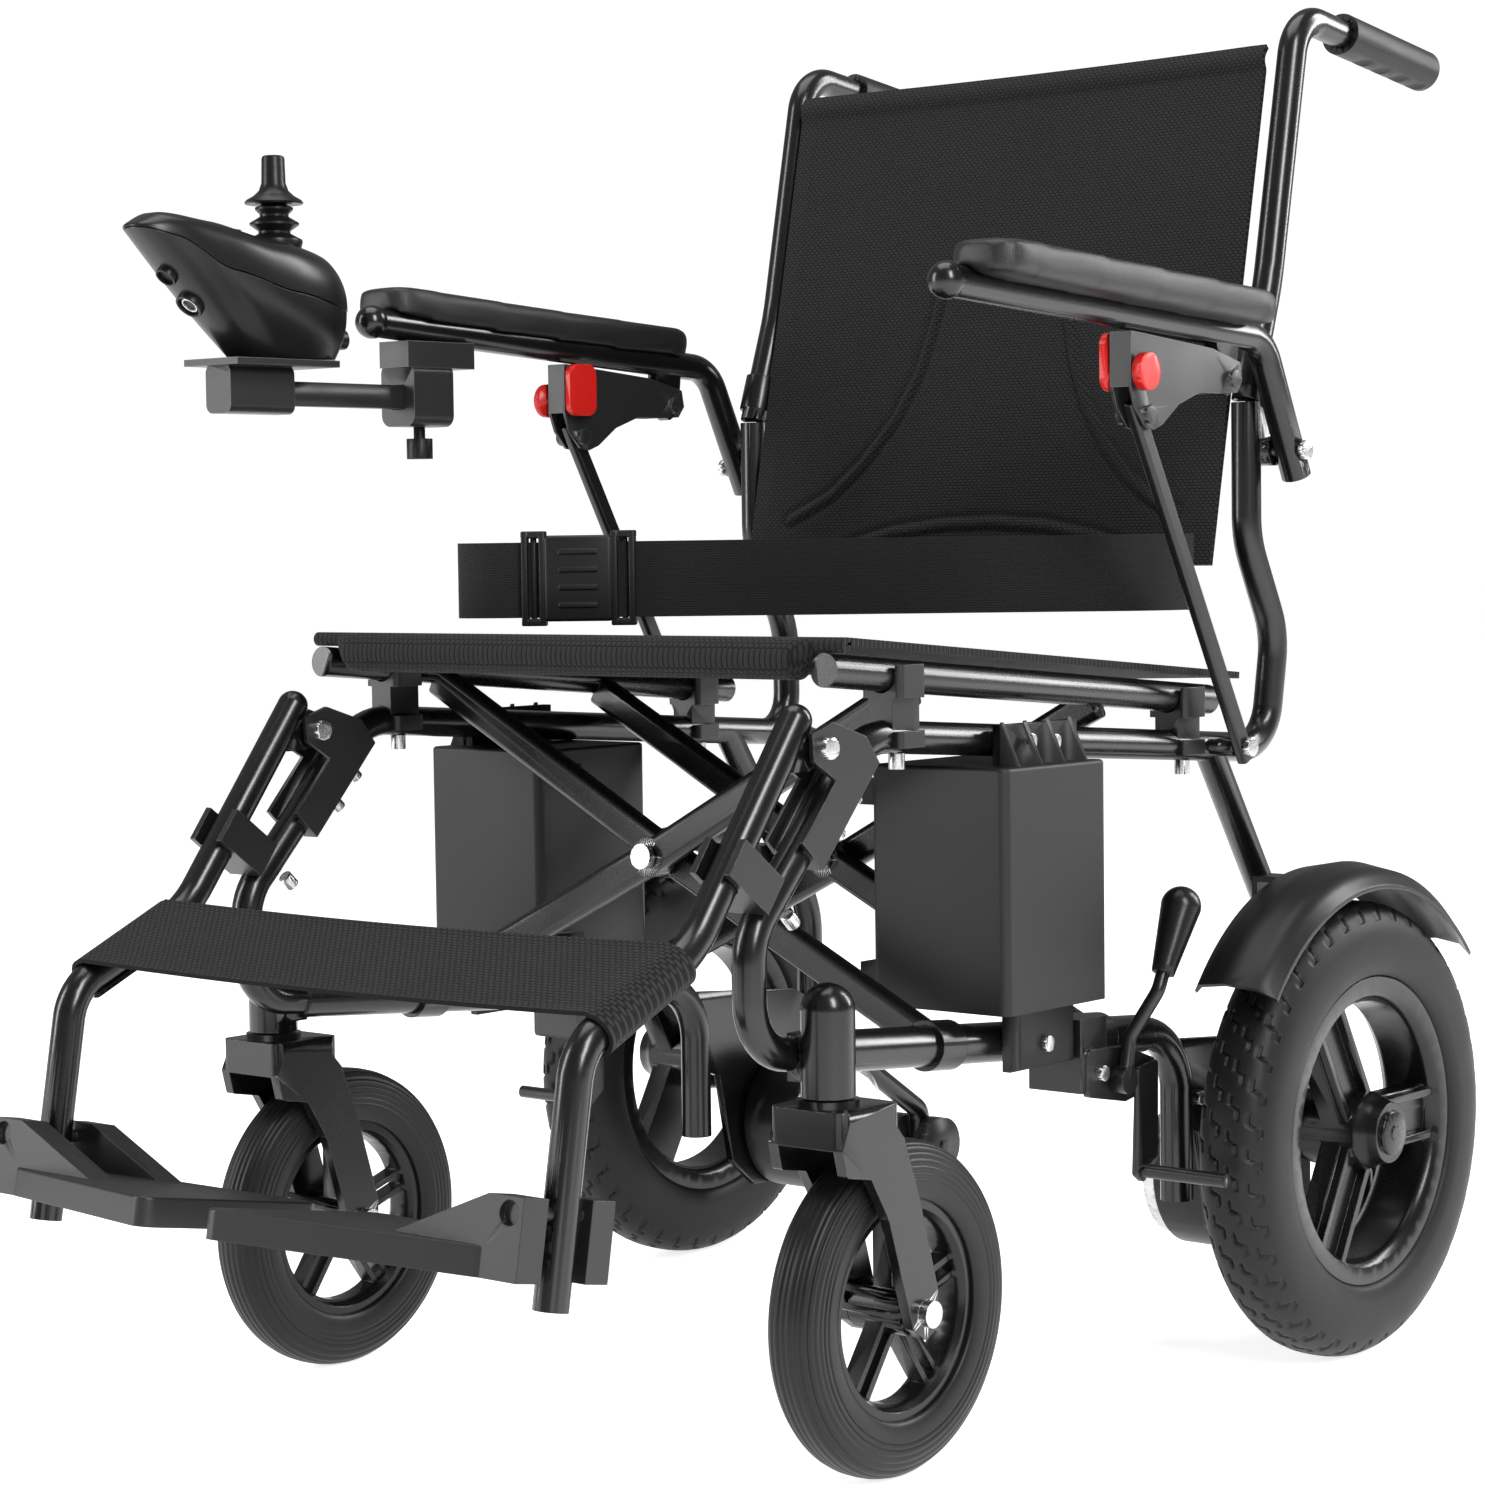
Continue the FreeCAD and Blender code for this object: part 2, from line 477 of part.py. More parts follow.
caster_bore = cylinder(at(CASTER_X - 40, CASTER_AXLE_Y, CASTER_R), X_AXIS, 5, 80)
fork = fork.cut(caster_bore)
axle_pin = cylinder(at(CASTER_X - LEG_OUT, CASTER_AXLE_Y, CASTER_R), X_AXIS, 4.95, 2 * LEG_OUT)
nuts = [cylinder(at(CASTER_X + LEG_OUT, CASTER_AXLE_Y, CASTER_R), X_AXIS, 8, 6),
        cylinder(at(CASTER_X - LEG_OUT - 6, CASTER_AXLE_Y, CASTER_R), X_AXIS, 8, 6)]
save_pair("caster_fork", [fork, fuse([axle_pin] + nuts)])

c = CASTER_TYRE_W / 2
CASTER_CROWN = [(-c + 2, CASTER_RIM_R), (-c, CASTER_RIM_R + 12), (-c + 1, CASTER_R - 12),
                (-c + 7, CASTER_R - 3), (0, CASTER_R)]
half = [(CASTER_X + x, r) for x, r in CASTER_CROWN]
other = [(CASTER_X - x, r) for x, r in reversed(CASTER_CROWN[:-1])]
caster_mid = at(0, CASTER_AXLE_Y, CASTER_R)
save_pair("caster_tyre", turned(half + other, caster_mid))
caster_band = turned([(CASTER_X - 12, CASTER_RIM_R - 0.2), (CASTER_X - 12, 60), (CASTER_X - 6, 56),
                      (CASTER_X + 6, 56),
                      (CASTER_X + 12, 60), (CASTER_X + 12, CASTER_RIM_R - 0.2)], caster_mid)
caster_hub = cylinder(at(CASTER_X - c - 2, CASTER_AXLE_Y, CASTER_R), X_AXIS, 15, 2 * c + 4)
caster_spokes = []
for i in range(5):
    for offset in (-7, 4):
        spoke = block(CASTER_X - 6, CASTER_X + 6, CASTER_AXLE_Y + offset, CASTER_AXLE_Y + offset + 4,
                      CASTER_R + 8, CASTER_R + 58)
        spoke.rotate(caster_mid, X_AXIS, 72 * i)
        caster_spokes.append(spoke)
caster_rim = fuse([caster_band, caster_hub] + caster_spokes)
caster_rim = caster_rim.cut(cylinder(at(CASTER_X - 30, CASTER_AXLE_Y, CASTER_R), X_AXIS, 5.0, 60))
save_pair("caster_rim", caster_rim)

# ---------------------------------------------------------------- wheel brakes
# A push lever turns in the clamp plate and swings the shoe arm back against the tyre.
LEVER_X = HALF_TRACK + 34.0
lever_rod = rod([at(LEVER_X, -196, 206), at(LEVER_X, -190, 232), at(LEVER_X + 14, -178, 262),
                 at(LEVER_X + 14, -158, 300)], [12, 16], 9)
lever_hub = cylinder(at(HALF_TRACK + 28.4, *LEVER_PIVOT), X_AXIS, 9, 10)
lever_pin = cylinder(at(HALF_TRACK + 14, *LEVER_PIVOT), X_AXIS, 4.0, 16)
brake_lever = fuse([lever_rod, lever_hub, lever_pin])
grip_dir = V(0, 20, 38).normalize()
grip_base = at(LEVER_X + 14, -172.5, 272.5)
grip_cone = Part.makeCone(7.5, 13, 46, grip_base, grip_dir)
grip_ball = Part.makeSphere(13, grip_base + grip_dir * 46)
grip = fuse([grip_cone, grip_ball])
brake_lever = max(brake_lever.cut(grip).Solids, key=lambda s: s.Volume)
save_pair("brake_lever", [brake_lever, grip])
shoe_plate = side_plate(HALF_TRACK + 28.4, HALF_TRACK + 32, [(-176, 212), (-154, 214), (-155, 150), (-172,
                                                                                                     136),
                                                             (-180, 142)], 3)
shoe_pin = cylinder(at(HALF_TRACK + 14, *SHOE_PIVOT), X_AXIS, 4.0, 16)
shoe_rod = cylinder(at(HALF_TRACK + 28.4, -172, 144), X_AXIS, 4.5, 66)
save_pair("brake_shoe", fuse([shoe_plate, shoe_pin, shoe_rod]))

# ---------------------------------------------------------------- armrests
ARM_SLOPE = 0.0635
ARM_TUBE = [(-372, 702.2), (-24.8, 680.2), (20.5, 589.5)]
BRACKET_PIN = (-73.0, 652.0)
STRUT_HEAD = (-173.0, 627.0)
BUTTON = (-183.5, 653.5)
arm_run = side_points(ARM_X, ARM_TUBE)
arm_tube = rod(arm_run, [30], TUBE)
arm_cap = Part.makeSphere(TUBE / 2 + 1.4, arm_run[0])
arm_lug = side_plate(ARM_X - 5, ARM_X + 5, [(-86, 676), (-60, 674), (-63, 646), (-73, 641), (-83, 646)])
arm_tube = fuse([arm_tube, arm_cap, arm_lug])
arm_tube = arm_tube.cut(cylinder(at(ARM_X - 20, *ARM_PIVOT), X_AXIS, 4.0 + FIT, 40))
arm_tube = arm_tube.cut(cylinder(at(ARM_X - 20, *BRACKET_PIN), X_AXIS, 3.0 + FIT, 40))
save_pair("arm_tube", arm_tube)
# padded board, offset outward so that it passes the back tube when the armrest is turned up
PAD_X = (228.5, 280.0)
PAD_Y = (-362.0, -49.0)
PAD_THICK = 21.0
pad = block(*PAD_X, *PAD_Y, 0, PAD_THICK)
pad = rounded(pad, 18, Z_AXIS)
pad = pad.makeFillet(5, [e for e in pad.Edges if e.BoundBox.ZMin > PAD_THICK - 0.1])
pad.rotate(at(0, -200, 0), X_AXIS, -degrees(atan2(ARM_SLOPE, 1)))
pad.translate(V(0, 0, 691.3 + 4.5))
pad = pad.cut(arm_tube)
save_pair("arm_pad", max(pad.Solids, key=lambda s: s.Volume))
# folded bracket under the tube: two cheeks and a front web
CHEEK_OUT = 8.0
CHEEK_IN = 6.0
ARM_PLATE = [(-187.5, 679), (-96, 671), (-62.5, 663), (-60, 651), (-66.5, 643), (-88.5, 642), (-112, 642),
             (-136, 634), (-155, 621), (-165, 617.5), (-174.5, 619), (-185.5, 631), (-190.5, 644),
             (-190.5, 660)]
plate_faces = [side_plate(ARM_X + a, ARM_X + b, ARM_PLATE) for a,
               b in ((CHEEK_IN, CHEEK_OUT), (-CHEEK_OUT, -CHEEK_IN))]
plate_web = block(ARM_X - CHEEK_OUT, ARM_X + CHEEK_OUT, -190.5, -188, 644, 679)
arm_plate = fuse(plate_faces + [plate_web])
arm_plate = arm_plate.cut(rod(arm_run, [30], TUBE + 2 * GAP))
arm_plate = arm_plate.cut(cylinder(at(ARM_X - 20, *BUTTON), X_AXIS, 5.0, 40))
pin_through = cylinder(at(ARM_X - CHEEK_OUT - 4, *BRACKET_PIN), X_AXIS, 3.0, 2 * CHEEK_OUT + 8)
pin_heads = [cylinder(at(ARM_X + x, *BRACKET_PIN), X_AXIS, 6, 4) for x in (CHEEK_OUT, -CHEEK_OUT - 4)]
strut_studs = [cylinder(at(ARM_X + x, *STRUT_HEAD), X_AXIS, 6, 4) for x in (CHEEK_OUT, -CHEEK_OUT - 4)]
save_pair("arm_plate", fuse([max(arm_plate.Solids, key=lambda s: s.Volume),
                             pin_through] + pin_heads + strut_studs))
strut_dir = at(0, *STRUT_HEAD) - at(0, *STRUT_FOOT)
strut_length = strut_dir.Length
strut = Part.makeBox(8, 13, strut_length + 20, V(-4, -6.5, -10))
strut = rounded(strut, 3, Z_AXIS)
strut.rotate(V(0, 0, 0), X_AXIS, degrees(atan2(-strut_dir.y, strut_dir.z)))
strut.translate(at(STRUT_X, *STRUT_FOOT))
strut = strut.cut(cylinder(at(STRUT_X - 20, *STRUT_FOOT), X_AXIS, 4.0 + FIT, 40))
save_pair("arm_strut", strut)
# push button outside, pull lever inside, on one latch pin
latch_pin = cylinder(at(ARM_X - 15, *BUTTON), X_AXIS, 4.9, 31)
button = cylinder(at(ARM_X + CHEEK_OUT + 3.8, *BUTTON), X_AXIS, 12, 6)
pull = rounded(block(ARM_X - 15, ARM_X - 10.4, -192, -164, 642, 679), 8, X_AXIS)
save_pair("arm_release", fuse([latch_pin, button, pull]))

# ---------------------------------------------------------------- folding back
BACK_TUBE = [(-1, BACK_JOINT_Z + 0.5), (27, 720), (66, 906), (236, 884)]
back_line = [at(BACK_X, y, z) for y, z in BACK_TUBE]
back_tube = rod(back_line, [200, 30], TUBE)
# its lower end is cut flat, just above the post
back_tube = back_tube.cut(block(BACK_X - 20, BACK_X + 20, -20, 20, 620, BACK_JOINT_Z + 0.3))
knuckle = cylinder(at(BACK_X - 6, *BACK_HINGE), X_AXIS, 6, 12)
knuckle_web = side_plate(BACK_X - 6, BACK_X + 6, [(0, 640.5), (20, 640.5), (25, 642), (24, 652), (8, 676),
                                                  (0, 676)])
sleeve = ring(at(BACK_X, 1.8, BACK_JOINT_Z + 8), V(0, 28, 79.5), 12.5, 9, 26)
back_tube = fuse([back_tube, knuckle, knuckle_web, sleeve])
back_tube = back_tube.cut(cylinder(at(BACK_X - 20, *BACK_HINGE), X_AXIS, 3.0 + FIT, 40))
grip_start = back_line[3] + (back_line[2] - back_line[3]).normalize() * 112
grip_axis = (back_line[3] - back_line[2]).normalize()
handle = cylinder(grip_start, grip_axis, 14.5, 116)
for i in range(4):
    notch = cylinder(grip_start + grip_axis * (26 + 25 * i) + V(-20, 0, -23), X_AXIS, 11, 40)
    handle = handle.cut(notch)
handle = handle.cut(rod(back_line, [200, 30], TUBE))
save_pair("back_tube", back_tube)
save_pair("push_grip", max(handle.Solids, key=lambda s: s.Volume))

# ---------------------------------------------------------------- cross brace with the seat tubes
# Two scissor frames.  The outer one turns on the right lower tube and carries the left seat tube; the
# inner one turns on the left lower tube and carries the right seat tube.  They share a centre bolt.
ARM_WIDE = 22.0
ARM_DEEP = 13.0
OUTER_YS = (-366.0, -170.0)
INNER_YS = (-349.0, -187.0)
SEAT_TUBE = [(-453, seat_tube_z(-453)), (-44, seat_tube_z(-44))]
fold_axis = V(0, -1, SEAT_SLOPE).normalize()
PIVOT_SLEEVE = 15.5


def brace(side, arm_ys):
    """One scissor frame: side is +1 for the frame that carries the left seat tube."""
    seat_tube = rod(side_points(side * HALF_TRACK, SEAT_TUBE), [], TUBE)
    pieces = [seat_tube]
    for y in arm_ys:
        centre = at(0, y, brace_pivot_z(y))
        top = at(side * (HALF_TRACK - 4), y, seat_tube_z(y) - 7)
        low = at(-side * HALF_TRACK, y, lower_tube_z(y))
        for end, extra in ((top, 0), (low, 0)):
            span = end - centre
            bar = Part.makeBox(ARM_WIDE, ARM_DEEP, span.Length, V(-ARM_WIDE / 2, -ARM_DEEP / 2, 0))
            bar = rounded(bar, 5, Z_AXIS)
            bar.rotate(V(0, 0, 0), Y_AXIS, degrees(atan2(span.x, span.z)))
            bar.translate(centre)
            pieces.append(bar)
        pieces.append(cylinder(centre - V(0, ARM_DEEP / 2, 0), Y_AXIS, 13, ARM_DEEP))
        pieces.append(cylinder(low - fold_axis * 12, fold_axis, PIVOT_SLEEVE, 24))
    frame = fuse(pieces)
    for y in arm_ys:
        low = at(-side * HALF_TRACK, y, lower_tube_z(y))
        frame = frame.cut(cylinder(low - fold_axis * 30, fold_axis, LOWER_TUBE / 2 + 0.1, 60))
        hole = at(0, y, brace_pivot_z(y)) - fold_axis * 20
        frame = frame.cut(cylinder(hole, fold_axis, 5 + FIT, 40))
    return frame


outer_brace = brace(1, OUTER_YS)
inner_brace = brace(-1, INNER_YS)
centre_bolts = []
for y0, y1 in ((OUTER_YS[0], INNER_YS[0]), (INNER_YS[1], OUTER_YS[1])):
    y = (y0 + y1) / 2
    middle = at(0, y, brace_pivot_z(y))
    pin = cylinder(middle - fold_axis * 16.5, fold_axis, 5.0, 33)
    heads = [cylinder(middle + fold_axis * 16.5, fold_axis, 8, 5),
             cylinder(middle - fold_axis * 21.5, fold_axis, 8, 5)]
    centre_bolts.append(fuse([pin] + heads))
save("brace_outer", [outer_brace] + centre_bolts)
save("brace_inner", inner_brace)

# ---------------------------------------------------------------- footrest hangers
hanger_points = side_points(HALF_TRACK, [HANGER_TOP, HANGER_KNEE, HANGER_TOE, HANGER_END])
hanger_tube = rod(hanger_points, [70, 34], TUBE)
hanger_cap = Part.makeSphere(TUBE / 2, hanger_points[0])
lug = side_plate(HALF_TRACK - 8, HALF_TRACK + 8, [(-482, 436), (-470, 440), (-462, 434), (-464, 424),
                                                  (-478, 418), (-492, 418)])
hanger = fuse([hanger_tube, hanger_cap, lug])
hanger = hanger.cut(cylinder(at(HALF_TRACK - 20, *HANGER_PIVOT), X_AXIS, 4.0 + FIT, 40))
leg_clear = rod(main_tube_points, MAIN_BENDS, TUBE + 2 * GAP)
hanger = max(hanger.cut(leg_clear).Solids, key=lambda s: s.Volume)
bridge_clear = side_plate(HALF_TRACK - 12.5, HALF_TRACK + 12.5,
                          [(-432, 437), (-419, 420), (-474, 360), (-487, 372)])
hanger = max(hanger.cut(bridge_clear).Solids, key=lambda s: s.Volume)

# footplates are square to the lower leg of the hanger, which leans 10 degrees
leg_y = HANGER_END[0] - HANGER_TOE[0]
leg_z = HANGER_END[1] - HANGER_TOE[1]
LEG_LEAN = degrees(atan2(leg_y, leg_z)) + 180
PLATE_PIVOT = (HANGER_TOE[0] + leg_y * 0.635, HANGER_TOE[1] + leg_z * 0.635)
plate_frame = at(HALF_TRACK, *PLATE_PIVOT)


def leaned(shape):
    """Turn a shape drawn about the footplate pivot square to the hanger leg and move it there."""
    shape.rotate(V(0, 0, 0), X_AXIS, -LEG_LEAN)
    shape.translate(plate_frame)
    return shape


plate_pin_bore = leaned(Part.makeCylinder(4.0 + FIT, 110, V(0, -55, 0), Y_AXIS))
hanger = hanger.cut(plate_pin_bore)
save_pair("hanger_tube", hanger)
INNER_END = 24.0 - HALF_TRACK
DECK_TOP = -19.0
DECK = [V(INNER_END, -88, DECK_TOP), V(INNER_END, 50, DECK_TOP), V(-14, 32, DECK_TOP),
        V(-14, -40, DECK_TOP)]
deck = Part.Face(Part.makePolygon(DECK + [DECK[0]])).extrude(V(0, 0, -17))
deck = rounded(deck, 9, Z_AXIS)
deck = deck.makeFillet(1.5, [e for e in deck.Edges if e.BoundBox.ZMin > DECK_TOP - 0.1])


def foot_cheek(y0, y1):
    """A tapered cheek rising from the deck to the pivot, one on each side of the tube."""
    outline = [V(10, y0, DECK_TOP - 17), V(10, y0, 9), V(-16, y0, 9), V(-84, y0, DECK_TOP),
               V(-84, y0, DECK_TOP - 17)]
    return Part.Face(Part.makePolygon(outline + [outline[0]])).extrude(V(0, y1 - y0, 0))


footplate = fuse([deck, foot_cheek(-40, -21), foot_cheek(14, 32)])
slot = Part.makeBox(TUBE + 6, 2 * 13.2, 60, V(-TUBE / 2 - 3, -13.2, -45))
plate_pin = Part.makeCylinder(4.0, 74, V(0, -41, 0), Y_AXIS)
footplate = footplate.cut(slot)
footplate = fuse([max(footplate.Solids, key=lambda s: s.Volume), plate_pin])
footplate = footplate.cut(Part.makeCylinder(7, 12, V(0, -48, 0), Y_AXIS))
save_pair("footplate", leaned(footplate))

# ---------------------------------------------------------------- calf strap
# Woven sleeve stretched between the hanger tubes: plain solid, clear of the tubes.
strap_lift = TUBE / 2 + 0.6
STRAP = [(-586, 317), (-655, 286)]
strap_dir = V(0, STRAP[1][0] - STRAP[0][0], STRAP[1][1] - STRAP[0][1])
strap_normal = V(0, strap_dir.z, -strap_dir.y).normalize()
strap_length = strap_dir.Length
strap = Part.makeBox(2 * (HALF_TRACK + 12), strap_length, 3.5)
strap.translate(V(-HALF_TRACK - 12, 0, 0))
strap.rotate(V(0, 0, 0), X_AXIS, degrees(atan2(strap_dir.z, strap_dir.y)) - 180)
origin = at(0, *STRAP[1]) + strap_normal * strap_lift
strap.translate(origin)
save("calf_strap", strap)

# ---------------------------------------------------------------- seat sling, belt and back cloth
SEAT_Y = (-456.0, -20.0)
SLING_HALF = HALF_TRACK + 11
sling = Part.makeBox(2 * SLING_HALF, SEAT_Y[1] - SEAT_Y[0], 10, V(-SLING_HALF, 0, 0))
sling.rotate(V(0, 0, 0), X_AXIS, -degrees(atan2(SEAT_SLOPE, 1)))
sling.translate(at(0, SEAT_Y[0], seat_tube_z(SEAT_Y[0]) + TUBE / 2 + 0.5))
save("seat_sling", sling)

BELT_LOW = 500.0
BELT_HIGH = 552.0
BELT_PATH = [(-203, -46), (-203, -322), (-188, -338), (-168, -332), (160, -102), (203, -62), (203, -46)]


def offset_band(path, width):
    """Closed outline of a band of some width along a path of (x, y) points."""
    left, right = [], []
    for i, (x, y) in enumerate(path):
        x0, y0 = path[max(i - 1, 0)]
        x1, y1 = path[min(i + 1, len(path) - 1)]
        length = ((x1 - x0) ** 2 + (y1 - y0) ** 2) ** 0.5
        nx, ny = (y1 - y0) / length * width / 2, -(x1 - x0) / length * width / 2
        left.append(at(x + nx, y + ny, BELT_LOW))
        right.append(at(x - nx, y - ny, BELT_LOW))
    return left + right[::-1]


band = offset_band(BELT_PATH, 4)
belt = Part.Face(Part.makePolygon(band + [band[0]])).extrude(V(0, 0, BELT_HIGH - BELT_LOW))
BUCKLE_AT = (-122.0, -300.0)
buckle = Part.makeBox(78, 14, 64, V(-39, -7, -32))
buckle = rounded(buckle, 2.5, Z_AXIS)
for x in (-30, -23, 20, 27):
    buckle = buckle.cut(Part.makeBox(3.5, 5, 50, V(x, -8, -25)))
buckle.rotate(V(0, 0, 0), Z_AXIS, degrees(atan2(-102 + 332, 160 + 168)))
buckle.translate(at(BUCKLE_AT[0], BUCKLE_AT[1], 527))
belt = belt.cut(buckle)
save("seat_belt", belt.Solids + [buckle])

CLOTH_HALF = BACK_X - 13.5
cloth = 6.0
back_slope = 0.213


def back_cloth(z0, z1, y0):
    """A flat panel leaning with the back tubes, from height z0 to z1; y0 is its front at z0."""
    y1 = y0 + (z1 - z0) * back_slope
    panel = side_plate(-CLOTH_HALF, CLOTH_HALF, [(y0, z0), (y1, z1), (y1 + cloth, z1), (y0 + cloth, z0)])
    return panel


save("back_cloth_lower", back_cloth(530, 638, -28))
save("back_cloth_upper", back_cloth(643, 884, -28 + (643 - 530) * back_slope))

# ---------------------------------------------------------------- joystick controller (right side)
CTRL_X = -ARM_X - 3
CTRL_Y = -488.0
# side profiles of the shells, as (length, height), the joint line sloping down to the rear
LOWER_SHELL = [(-578, 752), (-520, 722), (-460, 714), (-404, 705), (-428, 674), (-512, 674)]
UPPER_SHELL = [(-578, 752.4), (-520, 722.4), (-460, 714.4), (-404, 705.4), (-404, 726), (-412, 741),
               (-480, 752), (-560, 766), (-574, 762)]
lower_shell = side_plate(CTRL_X - 38, CTRL_X + 38, LOWER_SHELL)
lower_shell = rounded(lower_shell, 5, X_AXIS)
upper_shell = side_plate(CTRL_X - 40, CTRL_X + 40, UPPER_SHELL)
STICK_Y = -456.0
plan = Part.makeCylinder(42, 200, at(CTRL_X, -446, 600))
tip = Part.makeCylinder(26, 200, at(CTRL_X, -552, 600))
web = Part.Face(Part.makePolygon([at(CTRL_X - 25.5, -555, 600), at(CTRL_X + 25.5, -555, 600),
                                  at(CTRL_X + 41.5, -450, 600), at(CTRL_X - 41.5, -450, 600),
                                  at(CTRL_X - 25.5, -555, 600)])).extrude(V(0, 0, 200))
outline = fuse([plan, tip, web])
stick_well = cylinder(at(CTRL_X, STICK_Y, 700), Z_AXIS, 12, 80)
upper_shell = upper_shell.common(outline).cut(stick_well)
lower_shell = lower_shell.common(outline)
save("controller_lower", max(lower_shell.Solids, key=lambda s: s.Volume))
save("controller_upper", max(upper_shell.Solids, key=lambda s: s.Volume))
stick_mid = at(CTRL_X, STICK_Y, 740)
stick = cylinder(stick_mid, Z_AXIS, 5, 66)
knob = cylinder(at(CTRL_X, STICK_Y, 778), Z_AXIS, 7.5, 30)
skirt = Part.makeCone(17, 8, 8, at(CTRL_X, STICK_Y, 774), Z_AXIS)
pivot_ball = Part.makeSphere(10, stick_mid)
save("joystick", fuse([stick, knob, skirt, pivot_ball]))
# bellows boot: stacked cones between the shell and the skirt, on the controller
boot = fuse([Part.makeCone(15 - i * 1.5, 9, 4, at(CTRL_X, STICK_Y, 752.5 + 4 * i),
                           Z_AXIS) for i in range(4)])
boot = boot.cut(cylinder(at(CTRL_X, STICK_Y, 745), Z_AXIS, 8.6, 40))
save("joystick_boot", boot)

# mount: shell bracket, square bar and the clamp under the armrest
BAR_Z = 652.0
CLAMP_Y = -322.0
bar = block(CTRL_X - 6, CTRL_X + 6, -500, CLAMP_Y + 16, BAR_Z - 8, BAR_Z + 8)
shell_bracket = fuse([block(CTRL_X - 26, CTRL_X + 26, -514, -424, 669, 673.5),
                      rounded(block(CTRL_X - 12, CTRL_X + 12, -508, -452, BAR_Z - 14, 670), 6, Y_AXIS)])
save("controller_bar", fuse([bar, shell_bracket]))
clamp_body = rounded(block(CTRL_X - 16, CTRL_X + 16, CLAMP_Y - 24, CLAMP_Y + 14, BAR_Z - 20, BAR_Z + 24),
                     8, Y_AXIS)
clamp_neck = block(-ARM_X - 14, -ARM_X + 14, -352, -288, BAR_Z + 20, 690)
arm_void = mirrored(rod(arm_run, [30], TUBE))
clamp = fuse([clamp_body, clamp_neck]).cut(arm_void)
clamp = clamp.cut(block(CTRL_X - 6 - GAP, CTRL_X + 6 + GAP, -400, -200, BAR_Z - 8 - GAP, BAR_Z + 8 + GAP))
clamp = clamp.cut(cylinder(at(CTRL_X, CLAMP_Y - 4, BAR_Z - 40), Z_AXIS, 4 + FIT, 40))
save("controller_clamp", max(clamp.Solids, key=lambda s: s.Volume))
screw = fuse([cylinder(at(CTRL_X, CLAMP_Y - 4, BAR_Z - 42), Z_AXIS, 4, 33),
              cylinder(at(CTRL_X, CLAMP_Y - 4, BAR_Z - 42), Z_AXIS, 9, 14)])
save("clamp_screw", screw)

# ---------------------------------------------------------------- totals
whole = Part.makeCompound([shape for name, shape in SAVED])
box = whole.BoundBox
print(len(SAVED), "nodes; box", [round(v, 2) for v in (box.XMin, box.XMax, box.YMin, box.YMax, box.ZMin,
                                                       box.ZMax)])
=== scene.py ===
import json
from math import atan2, cos, hypot, pi, radians, sin

import bpy
from mathutils import Matrix, Vector


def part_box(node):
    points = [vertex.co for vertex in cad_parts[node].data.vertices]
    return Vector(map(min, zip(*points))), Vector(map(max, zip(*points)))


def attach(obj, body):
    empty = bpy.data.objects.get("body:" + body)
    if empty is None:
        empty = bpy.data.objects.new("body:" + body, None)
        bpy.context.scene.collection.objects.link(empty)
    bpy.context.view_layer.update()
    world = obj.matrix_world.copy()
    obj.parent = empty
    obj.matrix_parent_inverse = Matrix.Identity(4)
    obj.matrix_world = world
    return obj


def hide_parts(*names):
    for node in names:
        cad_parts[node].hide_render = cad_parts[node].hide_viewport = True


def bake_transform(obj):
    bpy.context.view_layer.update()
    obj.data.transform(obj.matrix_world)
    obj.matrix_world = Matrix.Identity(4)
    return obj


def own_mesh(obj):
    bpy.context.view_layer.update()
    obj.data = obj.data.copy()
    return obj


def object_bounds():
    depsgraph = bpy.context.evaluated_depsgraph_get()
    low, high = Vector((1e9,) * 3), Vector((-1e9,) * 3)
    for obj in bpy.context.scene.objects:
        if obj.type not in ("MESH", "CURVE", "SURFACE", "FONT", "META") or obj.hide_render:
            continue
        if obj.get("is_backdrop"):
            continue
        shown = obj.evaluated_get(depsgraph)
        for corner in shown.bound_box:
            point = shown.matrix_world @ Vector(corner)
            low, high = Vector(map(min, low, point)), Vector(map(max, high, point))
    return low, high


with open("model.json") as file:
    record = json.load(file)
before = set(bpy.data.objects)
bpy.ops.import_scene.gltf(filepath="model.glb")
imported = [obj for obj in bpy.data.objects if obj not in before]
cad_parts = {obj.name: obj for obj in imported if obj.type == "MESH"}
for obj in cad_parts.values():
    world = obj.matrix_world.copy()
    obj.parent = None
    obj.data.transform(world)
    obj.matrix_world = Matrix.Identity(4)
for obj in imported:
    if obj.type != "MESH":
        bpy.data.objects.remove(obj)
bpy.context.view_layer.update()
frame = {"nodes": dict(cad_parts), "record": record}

# ---------------------------------------------------------------- camera
# The chair is seen from its front left, a little above seat height, through a long lens.  The view
# follows the axle of the drive wheels, so that the chair keeps its place in it.
tyre_low, tyre_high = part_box("rear_tyre_left")
axle_y = (tyre_low.y + tyre_high.y) / 2
axle_z = (tyre_low.z + tyre_high.z) / 2
lens_data = bpy.data.cameras.new("view")
lens_data.lens = 83.07
lens_data.sensor_width = 36.0
lens_data.dof.use_dof = False
camera = bpy.data.objects.new("view", lens_data)
bpy.context.scene.collection.objects.link(camera)
forward = Vector((-0.64417, 0.76249, -0.06047)).normalized()
right = Vector((0.76435, 0.64466, -0.01359))
right = (right - forward * right.dot(forward)).normalized()
up = right.cross(forward)
turn = Matrix((right, up, -forward)).transposed().to_4x4()
camera.matrix_world = Matrix.Translation((1.4702, axle_y - 2.0164, 0.551)) @ turn
bpy.context.scene.camera = camera

# ---------------------------------------------------------------- side frames
# Bent steel tubes welded into one frame on each side: main tube, lower tube, hooked tail tube,
# rear leg and motor plate.  They are powder coated in satin black, which shows a faint orange peel.


